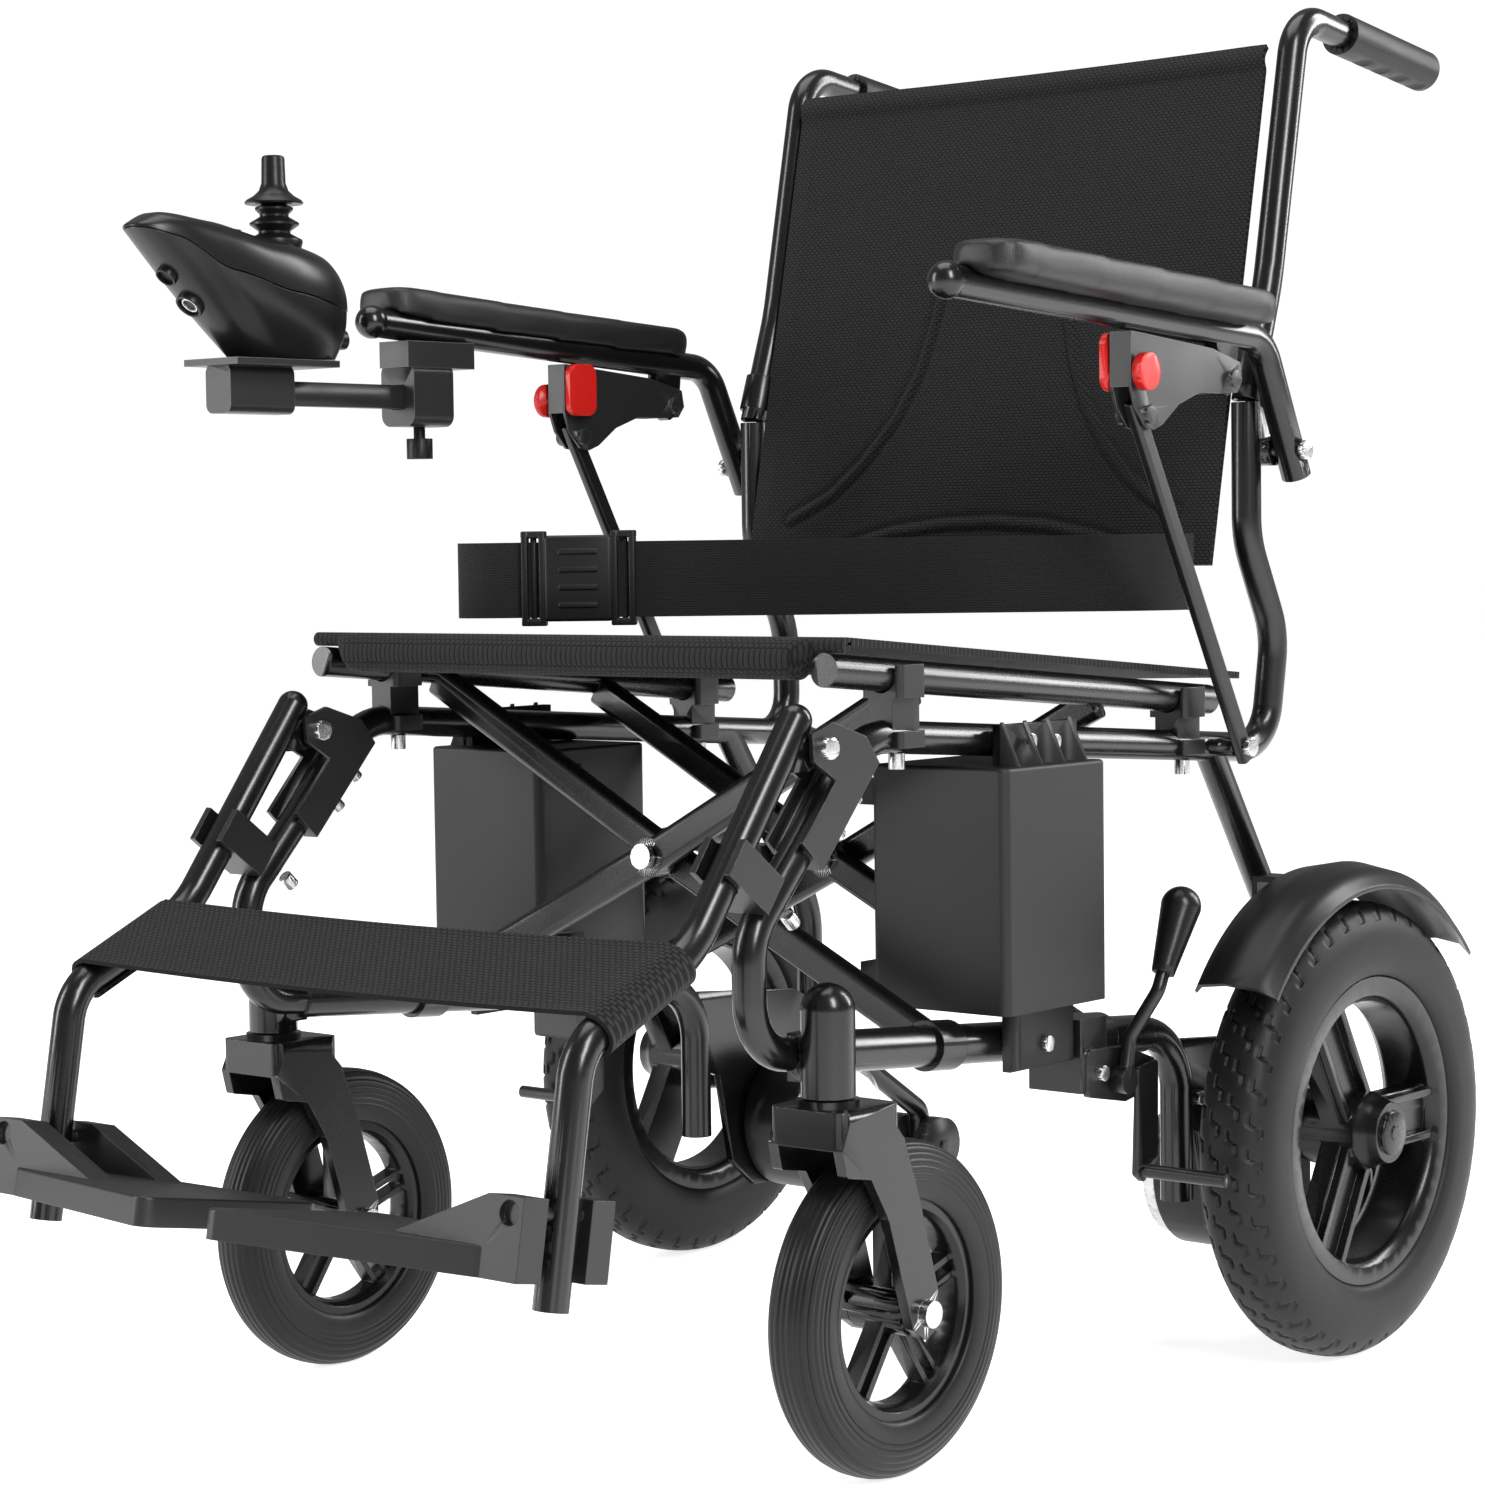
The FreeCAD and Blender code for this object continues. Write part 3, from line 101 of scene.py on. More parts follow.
class Value:
    """A shader socket that takes part in Python expressions."""

    def __init__(self, finish, socket):
        self.finish = finish
        self.socket = socket

    def math(self, operation, *others, swap=False):
        parts = (others[0], self) if swap else (self, *others)
        return self.finish.node("ShaderNodeMath", {"operation": operation}, dict(enumerate(parts)))

    def __add__(self, other):
        return self.math("ADD", other)

    def __sub__(self, other):
        return self.math("SUBTRACT", other)

    def __rsub__(self, other):
        return self.math("SUBTRACT", other, swap=True)

    def __mul__(self, other):
        return self.math("MULTIPLY", other)

    def wave(self):
        return self.math("SINE")

    def step(self, start, end):
        """0 below start, 1 above end, smooth between."""
        settings = {"interpolation_type": "SMOOTHSTEP"}
        return self.finish.node("ShaderNodeMapRange", settings, {0: self, 1: start, 2: end, 3: 0.0, 4: 1.0})


class Finish:
    """A material built round one Principled shader."""

    def __init__(self, name, **sockets):
        self.material = bpy.data.materials.new(name)
        self.material.use_nodes = True
        self.tree = self.material.node_tree
        self.shader = next(n for n in self.tree.nodes if n.type == "BSDF_PRINCIPLED")
        for socket, value in sockets.items():
            self.shader.inputs[socket.replace("_", " ")].default_value = value

    def node(self, kind, settings=None, inputs=None, output=0):
        """A new node with its settings made first, then its sockets filled or linked."""
        made = self.tree.nodes.new(kind)
        for key, value in (settings or {}).items():
            setattr(made, key, value)
        for key, value in (inputs or {}).items():
            if isinstance(value, Value):
                self.tree.links.new(value.socket, made.inputs[key])
            else:
                made.inputs[key].default_value = value
        return Value(self, made.outputs[output])

    def place(self, scale=(1, 1, 1), turned=(0, 0, 0), centre=(0, 0, 0)):
        """Object coordinates, centred, turned and scaled."""
        where = self.node("ShaderNodeTexCoord", output="Object")
        moved = self.node("ShaderNodeVectorMath", {"operation": "SUBTRACT"}, {0: where, 1: centre})
        return self.node("ShaderNodeMapping", {}, {"Vector": moved, "Rotation": turned, "Scale": scale})

    def axes(self, place=None):
        """The three coordinates as separate values."""
        place = place or self.place()
        split = self.node("ShaderNodeSeparateXYZ", {}, {0: place})
        outputs = split.socket.node.outputs
        return [Value(self, outputs[i]) for i in range(3)]

    def noise(self, scale, detail=3.0, place=None, roughness=0.55):
        place = place or self.place()
        return self.node("ShaderNodeTexNoise", {"noise_dimensions": "3D"},
                         {"Vector": place, "Scale": scale, "Detail": detail, "Roughness": roughness})

    def colours(self, factor, first, second):
        """A colour that goes from first to second as factor goes from 0 to 1."""
        return self.node("ShaderNodeMix", {"data_type": "RGBA"}, {0: factor, 6: first, 7: second}, output=2)

    def edges(self, radius):
        """1 on sharp outer and inner edges, 0 on flat or evenly curved faces."""
        rounded = self.node("ShaderNodeBevel", {"samples": 4}, {"Radius": radius})
        true = self.node("ShaderNodeNewGeometry", output="Normal")
        same = self.node("ShaderNodeVectorMath", {"operation": "DOT_PRODUCT"},
                         {0: rounded, 1: true}, output=1)
        return (1.0 - same).step(0.004, 0.09)

    def feed(self, **links):
        for socket, value in links.items():
            self.tree.links.new(value.socket, self.shader.inputs[socket.replace("_", " ")])

    def bump(self, height, distance, strength=1.0, edge=0.0):
        """Raise the surface by height times distance; edge rounds the sharp edges by that radius."""
        inputs = {"Height": height, "Distance": distance, "Strength": strength}
        if edge:
            inputs["Normal"] = self.node("ShaderNodeBevel", {"samples": 4}, {"Radius": edge})
        self.feed(Normal=self.node("ShaderNodeBump", {}, inputs))


def powder_coat(name, dark, light, rough, peel):
    """Baked powder coat: speckle in the colour, orange peel, rubbed and lighter along the edges."""
    coat = Finish(name, Specular_IOR_Level=0.5)
    speckle = coat.noise(900.0, 2.0)
    cloud = coat.noise(9.0, 4.0)
    worn = coat.edges(0.0012)
    rubbed = worn * coat.noise(160.0, 3.0).step(0.42, 0.7)
    base = coat.colours(speckle.step(0.35, 0.75), dark, light)
    coat.feed(Base_Color=coat.colours(rubbed * 0.5, base, (0.16, 0.16, 0.165, 1)),
              Roughness=cloud * 0.16 + speckle * 0.06 + (rough - 0.11) - rubbed * 0.08)
    coat.bump(coat.noise(420.0, 2.0) + coat.noise(60.0, 1.0) * 0.4, peel, 0.5, edge=0.0007)
    return coat


record = frame["record"]
body_of_node = {n: b for b, nodes in record["behaviour"]["bodies"].items() for n in nodes}
slot_of_node = {row["node"]: row["material_slot"] for row in record["subparts"]}


def select_only(piece):
    bpy.ops.object.select_all(action="DESELECT")
    piece.select_set(True)
    bpy.context.view_layer.objects.active = piece


def smooth(piece, angle=32):
    select_only(piece)
    bpy.ops.object.shade_smooth_by_angle(angle=radians(angle))


def mount(piece, body, slot, *finishes):
    """Give a finished piece its materials and the body it moves with; the slot argument is not used."""
    piece.data.materials.clear()
    for finish in finishes:
        piece.data.materials.append(finish.material)
    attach(piece, body)
    return piece


def clean_copy(node, angle=32):
    """A merged copy of a CAD node, shaded smooth across edges under angle."""
    piece = frame["nodes"][node].copy()
    piece.data = frame["nodes"][node].data.copy()
    piece.parent = None
    piece.matrix_world = Matrix.Identity(4)
    for key in list(piece.keys()):
        del piece[key]
    piece.name = node + "_body"
    piece.hide_render = False
    piece.hide_viewport = False
    bpy.context.scene.collection.objects.link(piece)
    select_only(piece)
    bpy.ops.object.mode_set(mode="EDIT")
    bpy.ops.mesh.select_all(action="SELECT")
    bpy.ops.mesh.remove_doubles(threshold=0.000004)
    bpy.ops.object.mode_set(mode="OBJECT")
    smooth(piece, angle)
    flats = piece.modifiers.new("flats", "WEIGHTED_NORMAL")
    flats.keep_sharp = True
    bpy.ops.object.modifier_apply(modifier=flats.name)
    return piece


def dress(node, *finishes, angle=32):
    """Show a CAD node as a clean copy of itself in its real finish."""
    piece = clean_copy(node, angle)
    mount(piece, body_of_node[node], slot_of_node[node], *finishes)
    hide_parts(node)
    return piece


SIDES = (("left", 1), ("right", -1))
tube_paint = powder_coat("tube_paint", (0.0022, 0.0022, 0.0024, 1), (0.005, 0.005, 0.0055, 1),
                         0.24, 0.00005)
bracket_paint = powder_coat("bracket_paint", (0.003, 0.003, 0.0032, 1), (0.0065, 0.0065, 0.007, 1),
                            0.36, 0.00009)
for side, sign in SIDES:
    dress("side_frame_" + side, tube_paint)
    dress("frame_brackets_" + side, bracket_paint, angle=20)


# ---------------------------------------------------------------- fasteners
# Zinc plated steel pins, bolts and nuts through the side frames.  They are bright, with fine turning
# marks.
zinc = Finish("bolt_zinc", Metallic=1.0)
marks = zinc.noise(700.0, 2.0)
zinc.feed(Base_Color=zinc.colours(marks, (0.42, 0.42, 0.43, 1), (0.7, 0.7, 0.71, 1)),
          Roughness=marks * 0.14 + 0.2)
zinc.bump(marks, 0.00004, 0.4, edge=0.0005)
for side, sign in SIDES:
    dress("frame_bolts_" + side, zinc)

# ---------------------------------------------------------------- cross brace
# Two welded scissor frames of square and round steel tube with the seat tubes on top, joined by one
# zinc plated centre bolt.  Powder coated like the side frames.
brace_paint = powder_coat("brace_paint", (0.0024, 0.0024, 0.0026, 1), (0.0055, 0.0055, 0.006, 1),
                          0.27, 0.00005)
BRACE_PIVOT = (0.3425, -0.0194, 0.085)
BOLT_HEAD_R = 0.0086
for node in ("brace_outer", "brace_inner"):
    brace = dress(node, brace_paint, zinc, angle=24)
    for face in brace.data.polygons:
        pivot_z = BRACE_PIVOT[0] - BRACE_PIVOT[2] * (face.center.y - BRACE_PIVOT[1])
        if hypot(face.center.x, face.center.z - pivot_z) < BOLT_HEAD_R:
            face.material_index = 1

# ---------------------------------------------------------------- battery boxes
# Injection moulded ABS boxes hooked over the side tubes.  The faces carry a fine spark texture and
# the edges are a little polished by handling.


def moulded(name, dark, light, rough, grain, depth):
    """Moulded plastic with a spark-eroded grain, slightly shinier along its edges."""
    plastic = Finish(name, Specular_IOR_Level=0.34)
    texture = plastic.noise(grain, 3.0, roughness=0.65)
    cloud = plastic.noise(12.0, 3.0)
    handled = plastic.edges(0.0016)
    plastic.feed(Base_Color=plastic.colours(cloud, dark, light),
                 Roughness=cloud * 0.1 + texture * 0.12 + (rough - 0.1) - handled * 0.1)
    plastic.bump(texture, depth, 0.7, edge=0.0009)
    return plastic


case_plastic = moulded("case_plastic", (0.0065, 0.0065, 0.0068, 1), (0.0105, 0.0105, 0.011, 1),
                       0.46, 1500.0, 0.00006)
for side, sign in SIDES:
    dress("battery_" + side, case_plastic)

# ---------------------------------------------------------------- drive motors
# Brushed gear motors: a painted steel can, closed on its inner side by a turned aluminium band, and
# a cast gearbox that holds the fixed wheel axle.
motor_paint = moulded("motor_paint", (0.004, 0.004, 0.0042, 1), (0.008, 0.008, 0.0085, 1),
                      0.36, 700.0, 0.00005)
aluminium = Finish("turned_aluminium", Metallic=1.0, Anisotropic=0.5)
rings = (aluminium.axes(aluminium.place())[0] * 9000.0).wave() * 0.5 + aluminium.noise(300.0) * 0.5
aluminium.feed(Base_Color=aluminium.colours(rings, (0.55, 0.55, 0.56, 1), (0.82, 0.82, 0.83, 1)),
               Roughness=rings * 0.12 + 0.2)
aluminium.bump(rings, 0.00003, 0.5, edge=0.0005)
BAND_X = (0.1455, 0.1605)
for side, sign in SIDES:
    motor = dress("drive_motor_" + side, motor_paint, aluminium)
    for face in motor.data.polygons:
        if BAND_X[0] < abs(face.center.x) < BAND_X[1]:
            face.material_index = 1

# ---------------------------------------------------------------- drive wheels
# Pneumatic tyres with smooth bulged sidewalls and rows of short Z sipes across the tread, on moulded
# nylon wheels with three wide panelled spokes.


def lathe(name, profile, centre, steps, axis="X"):
    """Turn a closed outline of (place on the axis, radius) points about the X or Z axis through centre."""
    outline = bpy.data.meshes.new(name)
    if axis == "X":
        turn_axis = (1, 0, 0)
        points = [(x, centre[1], centre[2] + r) for x, r in profile]
    else:
        turn_axis = (0, 0, 1)
        points = [(centre[0] + r, centre[1], z) for z, r in profile]
    count = len(points)
    outline.from_pydata(points, [(i, (i + 1) % count) for i in range(count)], [])
    piece = bpy.data.objects.new(name, outline)
    bpy.context.scene.collection.objects.link(piece)
    select_only(piece)
    bpy.ops.object.mode_set(mode="EDIT")
    bpy.ops.mesh.select_all(action="SELECT")
    bpy.ops.mesh.spin(steps=steps, angle=2 * pi, center=centre, axis=turn_axis)
    bpy.ops.mesh.select_all(action="SELECT")
    bpy.ops.mesh.remove_doubles(threshold=0.00002)
    bpy.ops.mesh.normals_make_consistent(inside=False)
    bpy.ops.object.mode_set(mode="OBJECT")
    return piece


def rounded_profile(corners, spacing):
    """Points at an even spacing along a smooth closed curve through the corners."""
    dense = []
    count = len(corners)
    for i in range(count):
        a, b, c, d = (corners[(i + k - 1) % count] for k in range(4))
        for step in range(24):
            t = step / 24
            dense.append([0.5 * (2 * b[k] + (c[k] - a[k]) * t
                                 + (2 * a[k] - 5 * b[k] + 4 * c[k] - d[k]) * t ** 2
                                 + (3 * b[k] - a[k] - 3 * c[k] + d[k]) * t ** 3) for k in (0, 1)])
    lengths = [0.0]
    for first, second in zip(dense, dense[1:] + dense[:1]):
        lengths.append(lengths[-1] + hypot(second[0] - first[0], second[1] - first[1]))
    total = round(lengths[-1] / spacing)
    even = []
    j = 0
    for i in range(total):
        target = lengths[-1] * i / total
        while lengths[j + 1] < target:
            j += 1
        share = (target - lengths[j]) / (lengths[j + 1] - lengths[j])
        first, second = dense[j], dense[(j + 1) % len(dense)]
        even.append(tuple(first[k] + (second[k] - first[k]) * share for k in (0, 1)))
    return even


def rubber(name, dark, light, rough):
    """Carbon black rubber: dull, faintly mottled, dusty grey where it is scuffed."""
    tyre = Finish(name, Specular_IOR_Level=0.26)
    mottle = tyre.noise(35.0, 4.0)
    fine = tyre.noise(800.0, 3.0)
    tyre.feed(Base_Color=tyre.colours(mottle, dark, light),
              Roughness=mottle * 0.14 + fine * 0.08 + (rough - 0.11))
    tyre.bump(fine + mottle * 0.5, 0.00008, 0.6)
    return tyre


drive_rubber = rubber("drive_rubber", (0.0042, 0.0042, 0.0044, 1), (0.0085, 0.0085, 0.0088, 1), 0.5)
wheel_plastic = moulded("wheel_plastic", (0.0025, 0.0025, 0.0027, 1), (0.005, 0.005, 0.0055, 1),
                        0.24, 900.0, 0.00003)
SIPE = ((-0.0072, -0.0030), (-0.0014, -0.0030), (0.0014, 0.0030), (0.0072, 0.0030))
SIPE_ROWS = (-0.0190, -0.0065, 0.0065, 0.0190)
SIPE_PITCHES = 42
SIPE_HALF_WIDTH = 0.0010
SIPE_DEPTH = 0.0022
ROW_HALF_WIDTH = 0.0055
TREAD_FROM_R = 0.138
TYRE_STEPS = 720
tyre_radius = (tyre_high.z - tyre_low.z) / 2
tyre_centre_x = (tyre_low.x + tyre_high.x) / 2


def sipe_cut(along, across):
    """How deep the tread is cut at a place along and across it, 0 to 1."""
    pitch = 2 * pi * tyre_radius / SIPE_PITCHES
    best = 1.0
    for row, middle in enumerate(SIPE_ROWS):
        b = across - middle
        if abs(b) > ROW_HALF_WIDTH:
            continue
        a = (along + row * 0.5 * pitch) % pitch - pitch / 2
        for (a0, b0), (a1, b1) in zip(SIPE, SIPE[1:]):
            da, db = a1 - a0, b1 - b0
            t = max(0.0, min(1.0, ((a - a0) * da + (b - b0) * db) / (da * da + db * db)))
            best = min(best, hypot(a - a0 - da * t, b - b0 - db * t))
    return max(0.0, 1.0 - max(0.0, best - SIPE_HALF_WIDTH * 0.4) / SIPE_HALF_WIDTH)


TYRE_SHAPE = ((-0.0220, 0.1035), (-0.0258, 0.1100), (-0.0268, 0.1200), (-0.0262, 0.1310), (-0.0236, 0.1400),
              (-0.0190, 0.1470), (-0.0110, 0.1514), (0.0, 0.1524), (0.0110, 0.1514), (0.0190, 0.1470),
              (0.0236, 0.1400), (0.0262, 0.1310), (0.0268, 0.1200), (0.0258, 0.1100), (0.0220, 0.1035),
              (0.0100, 0.1030), (-0.0100, 0.1030))
for side, sign in SIDES:
    centre = (sign * tyre_centre_x, axle_y, axle_z)
    outline = [(sign * (tyre_centre_x + x), r) for x, r in rounded_profile(TYRE_SHAPE, 0.0014)]
    tyre = lathe("drive_tyre_" + side, outline, centre, TYRE_STEPS)
    for vertex in tyre.data.vertices:
        y, z = vertex.co.y - axle_y, vertex.co.z - axle_z
        r = hypot(y, z)
        if r < TREAD_FROM_R:
            continue
        cut = sipe_cut((atan2(z, y) % (2 * pi)) * tyre_radius, abs(vertex.co.x) - tyre_centre_x)
        share = 1 - cut * SIPE_DEPTH / r
        vertex.co.y = axle_y + y * share
        vertex.co.z = axle_z + z * share
    smooth(tyre, 40)
    mount(tyre, "rear_wheel_" + side, "drive_tyre", drive_rubber)
    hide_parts("rear_tyre_" + side)
    dress("rear_rim_" + side, wheel_plastic)

# ---------------------------------------------------------------- fenders
# Vacuum formed ABS mudguards over the drive wheels, each on a bent steel stay.  The plastic is a
# little glossier than the battery boxes and has a shallower grain.
fender_plastic = moulded("fender_plastic", (0.004, 0.004, 0.0042, 1), (0.0075, 0.0075, 0.008, 1),
                         0.34, 1100.0, 0.00004)
for side, sign in SIDES:
    dress("fender_" + side, fender_plastic)

# ---------------------------------------------------------------- anti-tip wheels
# Pairs of small nylon rollers, one pair at the end of each rear tube.  They turn together on one
# axle.
roller_plastic = moulded("roller_plastic", (0.004, 0.004, 0.0042, 1), (0.008, 0.008, 0.0085, 1),
                         0.4, 900.0, 0.00005)
for side, sign in SIDES:
    dress("anti_tip_wheels_" + side, roller_plastic)

# ---------------------------------------------------------------- casters
# Solid polyurethane tyres with fine moulded ribs round them, five-spoke nylon wheels and pressed
# steel forks with a domed stem cap.
fork_paint = powder_coat("fork_paint", (0.0022, 0.0022, 0.0024, 1), (0.005, 0.005, 0.0055, 1),
                         0.24, 0.00005)
caster_rubber = rubber("caster_rubber", (0.0045, 0.0045, 0.0047, 1), (0.009, 0.009, 0.0095, 1), 0.4)
AXLE_NUT_R = 0.0088
CASTER_RIBS = 15
RIB_HEIGHT = 0.0008
RIB_CENTRE_LIFT = 0.012
CASTER_STEPS = 160
for side, sign in SIDES:
    low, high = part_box("caster_tyre_" + side)
    centre = tuple((low + high) / 2)
    radius = (high.z - low.z) / 2
    bead = radius - 0.034
    half = (high.x - low.x) / 2
    shape = [(-half + 0.0022, bead), (-half, bead + 0.010), (-half + 0.0008, radius - 0.012),
             (-half + 0.0042, radius - 0.0042), (-half + 0.0095, radius - 0.0010), (0.0, radius - 0.0002)]
    shape += [(-x, r) for x, r in reversed(shape[:-1])]
    shape += [(half - 0.008, bead - 0.0006), (0.008 - half, bead - 0.0006)]
    ribbed = []
    for x, r in rounded_profile(shape, 0.0006):
        from_bead = (r - bead) / (radius - bead)
        if from_bead > 0.3:
            up_from = r - bead - RIB_CENTRE_LIFT
            lift = abs(cos(atan2(x, up_from) * CASTER_RIBS)) ** 0.5 * RIB_HEIGHT
            length = hypot(x, up_from)
            x, r = x * (1 - RIB_HEIGHT / length) + x / length * lift, r - RIB_HEIGHT + lift
        ribbed.append((centre[0] + sign * x, r))
    tyre = lathe("caster_tread_" + side, ribbed, centre, CASTER_STEPS)
    smooth(tyre, 60)
    mount(tyre, "caster_" + side, "caster_rubber", caster_rubber)
    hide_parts("caster_tyre_" + side)
    dress("caster_rim_" + side, wheel_plastic)
    fork = dress("caster_fork_" + side, fork_paint, zinc, angle=18)
    for face in fork.data.polygons:
        if hypot(face.center.y - centre[1], face.center.z - centre[2]) < AXLE_NUT_R:
            face.material_index = 1

# ---------------------------------------------------------------- wheel brakes
# Push levers of bent rod with a moulded hand grip, and the pressed arm and shoe rod that they work.
# The grip is the part of the lever above a fixed height.
brake_paint = powder_coat("brake_paint", (0.003, 0.003, 0.0032, 1), (0.007, 0.007, 0.0075, 1),
                          0.33, 0.00006)
handle_plastic = moulded("handle_plastic", (0.003, 0.003, 0.0032, 1), (0.006, 0.006, 0.0065, 1),
                         0.28, 600.0, 0.00004)
GRIP_FROM_Z = 0.262
for side, sign in SIDES:
    lever = dress("brake_lever_" + side, brake_paint, handle_plastic)
    for face in lever.data.polygons:
        if face.center.z > GRIP_FROM_Z:
            face.material_index = 1
    dress("brake_shoe_" + side, brake_paint)

# ---------------------------------------------------------------- seat sling
# Polyester mesh woven in fine offset rows, stretched between the seat tubes and sewn over a rod at
# its front edge, where it stands as a round hem.


def woven(name, dark, light, pitch, rows, axes, depth, rough=0.8, turned=(0, 0, 0)):
    """Coarse weave of short bars, every other row set over by half a bar."""
    cloth = Finish(name, Specular_IOR_Level=0.16, Sheen_Weight=0.05, Sheen_Roughness=0.5)
    place = cloth.axes(cloth.place(turned=turned))
    u, v = place[axes[0]], place[axes[1]]
    row = v * (1 / rows)
    stagger = row.math("FLOOR").math("MODULO", 2.0).math("ABSOLUTE") * 0.5
    bar = (u * (1 / pitch) + stagger).math("FRACT")
    across = row.math("FRACT")
    bar_hump = (bar * pi).wave()
    row_hump = (across * pi).wave()
    thread = bar_hump.step(0.15, 0.75) * row_hump.step(0.1, 0.7)
    fibre = cloth.noise(1400.0, 2.0)
    fade = cloth.noise(14.0, 3.0)
    cloth.feed(Base_Color=cloth.colours(thread * (fibre * 0.4 + 0.6) * (fade * 0.4 + 0.7), dark, light),
               Roughness=fibre * 0.12 + (rough - 0.08) + thread * 0.04)
    cloth.bump(thread + fibre * 0.15, depth, 0.9)
    return cloth


def surface(name, point_at, columns, rows, thickness):
    """A sheet from a grid of points, given its thickness and shaded smooth."""
    mesh = bpy.data.meshes.new(name)
    points = [point_at(i / columns, j / rows) for j in range(rows + 1) for i in range(columns + 1)]
    wide = columns + 1
    faces = [(j * wide + i, j * wide + i + 1, (j + 1) * wide + i + 1, (j + 1) * wide + i)
             for j in range(rows) for i in range(columns)]
    mesh.from_pydata(points, [], faces)
    piece = bpy.data.objects.new(name, mesh)
    bpy.context.scene.collection.objects.link(piece)
    select_only(piece)
    if thickness:
        solid = piece.modifiers.new("thickness", "SOLIDIFY")
        solid.thickness = thickness
        solid.offset = 0.0
        bpy.ops.object.modifier_apply(modifier=solid.name)
    smooth(piece, 50)
    return piece


mesh_dark, mesh_light = (0.0016, 0.0016, 0.0017, 1), (0.019, 0.019, 0.020, 1)
seat_mesh = woven("seat_mesh", mesh_dark, mesh_light, 0.0042, 0.0021, (0, 1), 0.0007)
sling_low, sling_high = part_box("seat_sling")
SEAT_SLOPE = 0.085
HEM_R = 0.0105
SLING_T = 0.0045
SLING_SAG = 0.007
TOP_SHARE = 0.72
HEM_TURN = radians(300)


def sling_point(u, v):
    """u runs across the seat; v runs forward over the top, round the hem and back under it."""
    x = sling_low.x + (sling_high.x - sling_low.x) * u
    sag = SLING_SAG * max(0.0, 1 - (x / 0.195) ** 2)
    front_y, front_z = sling_low.y + HEM_R, sling_high.z - 0.0016
    edge = max(0.0, min(1.0, (0.2 - abs(x)) / 0.012))
    hem = HEM_R * (0.22 + 0.78 * edge)
    if v < TOP_SHARE:
        t = v / TOP_SHARE
        y = sling_high.y + (front_y - sling_high.y) * t
        eased = min(1.0, (y - front_y) / 0.07)
        back = min(1.0, (sling_high.y - y) / 0.05)
        z = front_z - SEAT_SLOPE * (y - front_y) - sag * eased * (0.4 + 0.6 * back)
    else:
        turn_by = (v - TOP_SHARE) / (1 - TOP_SHARE) * HEM_TURN
        y = front_y - sin(turn_by) * hem
        z = front_z - hem + cos(turn_by) * hem
    return x, y, z - SLING_T / 2


sling = surface("seat_sling_cloth", sling_point, 150, 150, SLING_T)
mount(sling, "brace_outer", "mesh_cloth", seat_mesh)
sling.parent = None
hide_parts("seat_sling")
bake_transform(sling)

# ---------------------------------------------------------------- back cloth
# The same polyester mesh, sewn to a rail on each back tube.  Piping sewn on its face makes two side
# arcs and one across the small of the back; the top edge is rolled.
back_mesh = woven("back_mesh", mesh_dark, mesh_light, 0.0042, 0.0021, (0, 2), 0.0007)
back_front_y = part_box("back_cloth_lower")[0].y + 0.0034
back_top_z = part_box("back_cloth_upper")[1].z
BACK_LEAN = 0.213
BACK_FOOT_Z = 0.53
BACK_HALF = 0.2035
ROLL_HEIGHT = 0.016
ARCS = (
    ((-0.052, 0.742), (-0.058, 0.726), (-0.063, 0.698), (-0.070, 0.670), (-0.086, 0.637),
     (-0.111, 0.605), (-0.136, 0.582), (-0.169, 0.565)),
    ((0.052, 0.742), (0.059, 0.700), (0.068, 0.671), (0.082, 0.642), (0.102, 0.614),
     (0.124, 0.592), (0.147, 0.576), (0.170, 0.565)),
    ((-0.140, 0.534), (-0.107, 0.547), (-0.076, 0.555), (-0.031, 0.560), (0.013, 0.561),
     (0.057, 0.558), (0.096, 0.551), (0.131, 0.542), (0.155, 0.534)),
)


def arc_lift(x, z):
    """Height of the piping above the cloth, with the cloth drawn in beside it."""
    nearest = 1.0
    for arc in ARCS:
        for (x0, z0), (x1, z1) in zip(arc, arc[1:]):
            dx, dz = x1 - x0, z1 - z0
            t = max(0.0, min(1.0, ((x - x0) * dx + (z - z0) * dz) / (dx * dx + dz * dz)))
            nearest = min(nearest, hypot(x - x0 - dx * t, z - z0 - dz * t))
    raised = 0.0022 * max(0.0, 1 - (nearest / 0.0028) ** 2)
    drawn_in = 0.0016 * max(0.0, 1 - abs(nearest - 0.0055) / 0.004)
    return raised - drawn_in


def back_point(bottom, top, roll):
    """The cloth between two heights: bowed between the tubes, rolled forward at the top if asked."""
    def point(u, v):
        x = -BACK_HALF + 2 * BACK_HALF * u
        z = bottom + (top - bottom) * v
        y = back_front_y + BACK_LEAN * (z - BACK_FOOT_Z)
        bow = 0.010 * max(0.0, 1 - (x / 0.19) ** 2)
        y += bow - arc_lift(x, z)
        if roll and z > top - ROLL_HEIGHT:
            y -= 0.0035 * sin(pi * (z - top + ROLL_HEIGHT) / ROLL_HEIGHT)
        return x, y, z
    return point


SPLIT_Z = 0.6405
for name, node, body, bottom, top, roll in (
        ("back_cloth_low", "back_cloth_lower", "frame_right", BACK_FOOT_Z, SPLIT_Z, False),
        ("back_cloth_high", "back_cloth_upper", "back_right", SPLIT_Z, back_top_z, True)):
    cloth = surface(name, back_point(bottom, top, roll), 240, round((top - bottom) / 0.0017), 0.004)
    mount(cloth, body, "mesh_cloth", back_mesh)
    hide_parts(node)
    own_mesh(cloth)

# ---------------------------------------------------------------- seat belt
# A 50 mm polyester webbing belt standing in a loop on the seat, closed by a moulded side-release
# buckle near the right thigh.


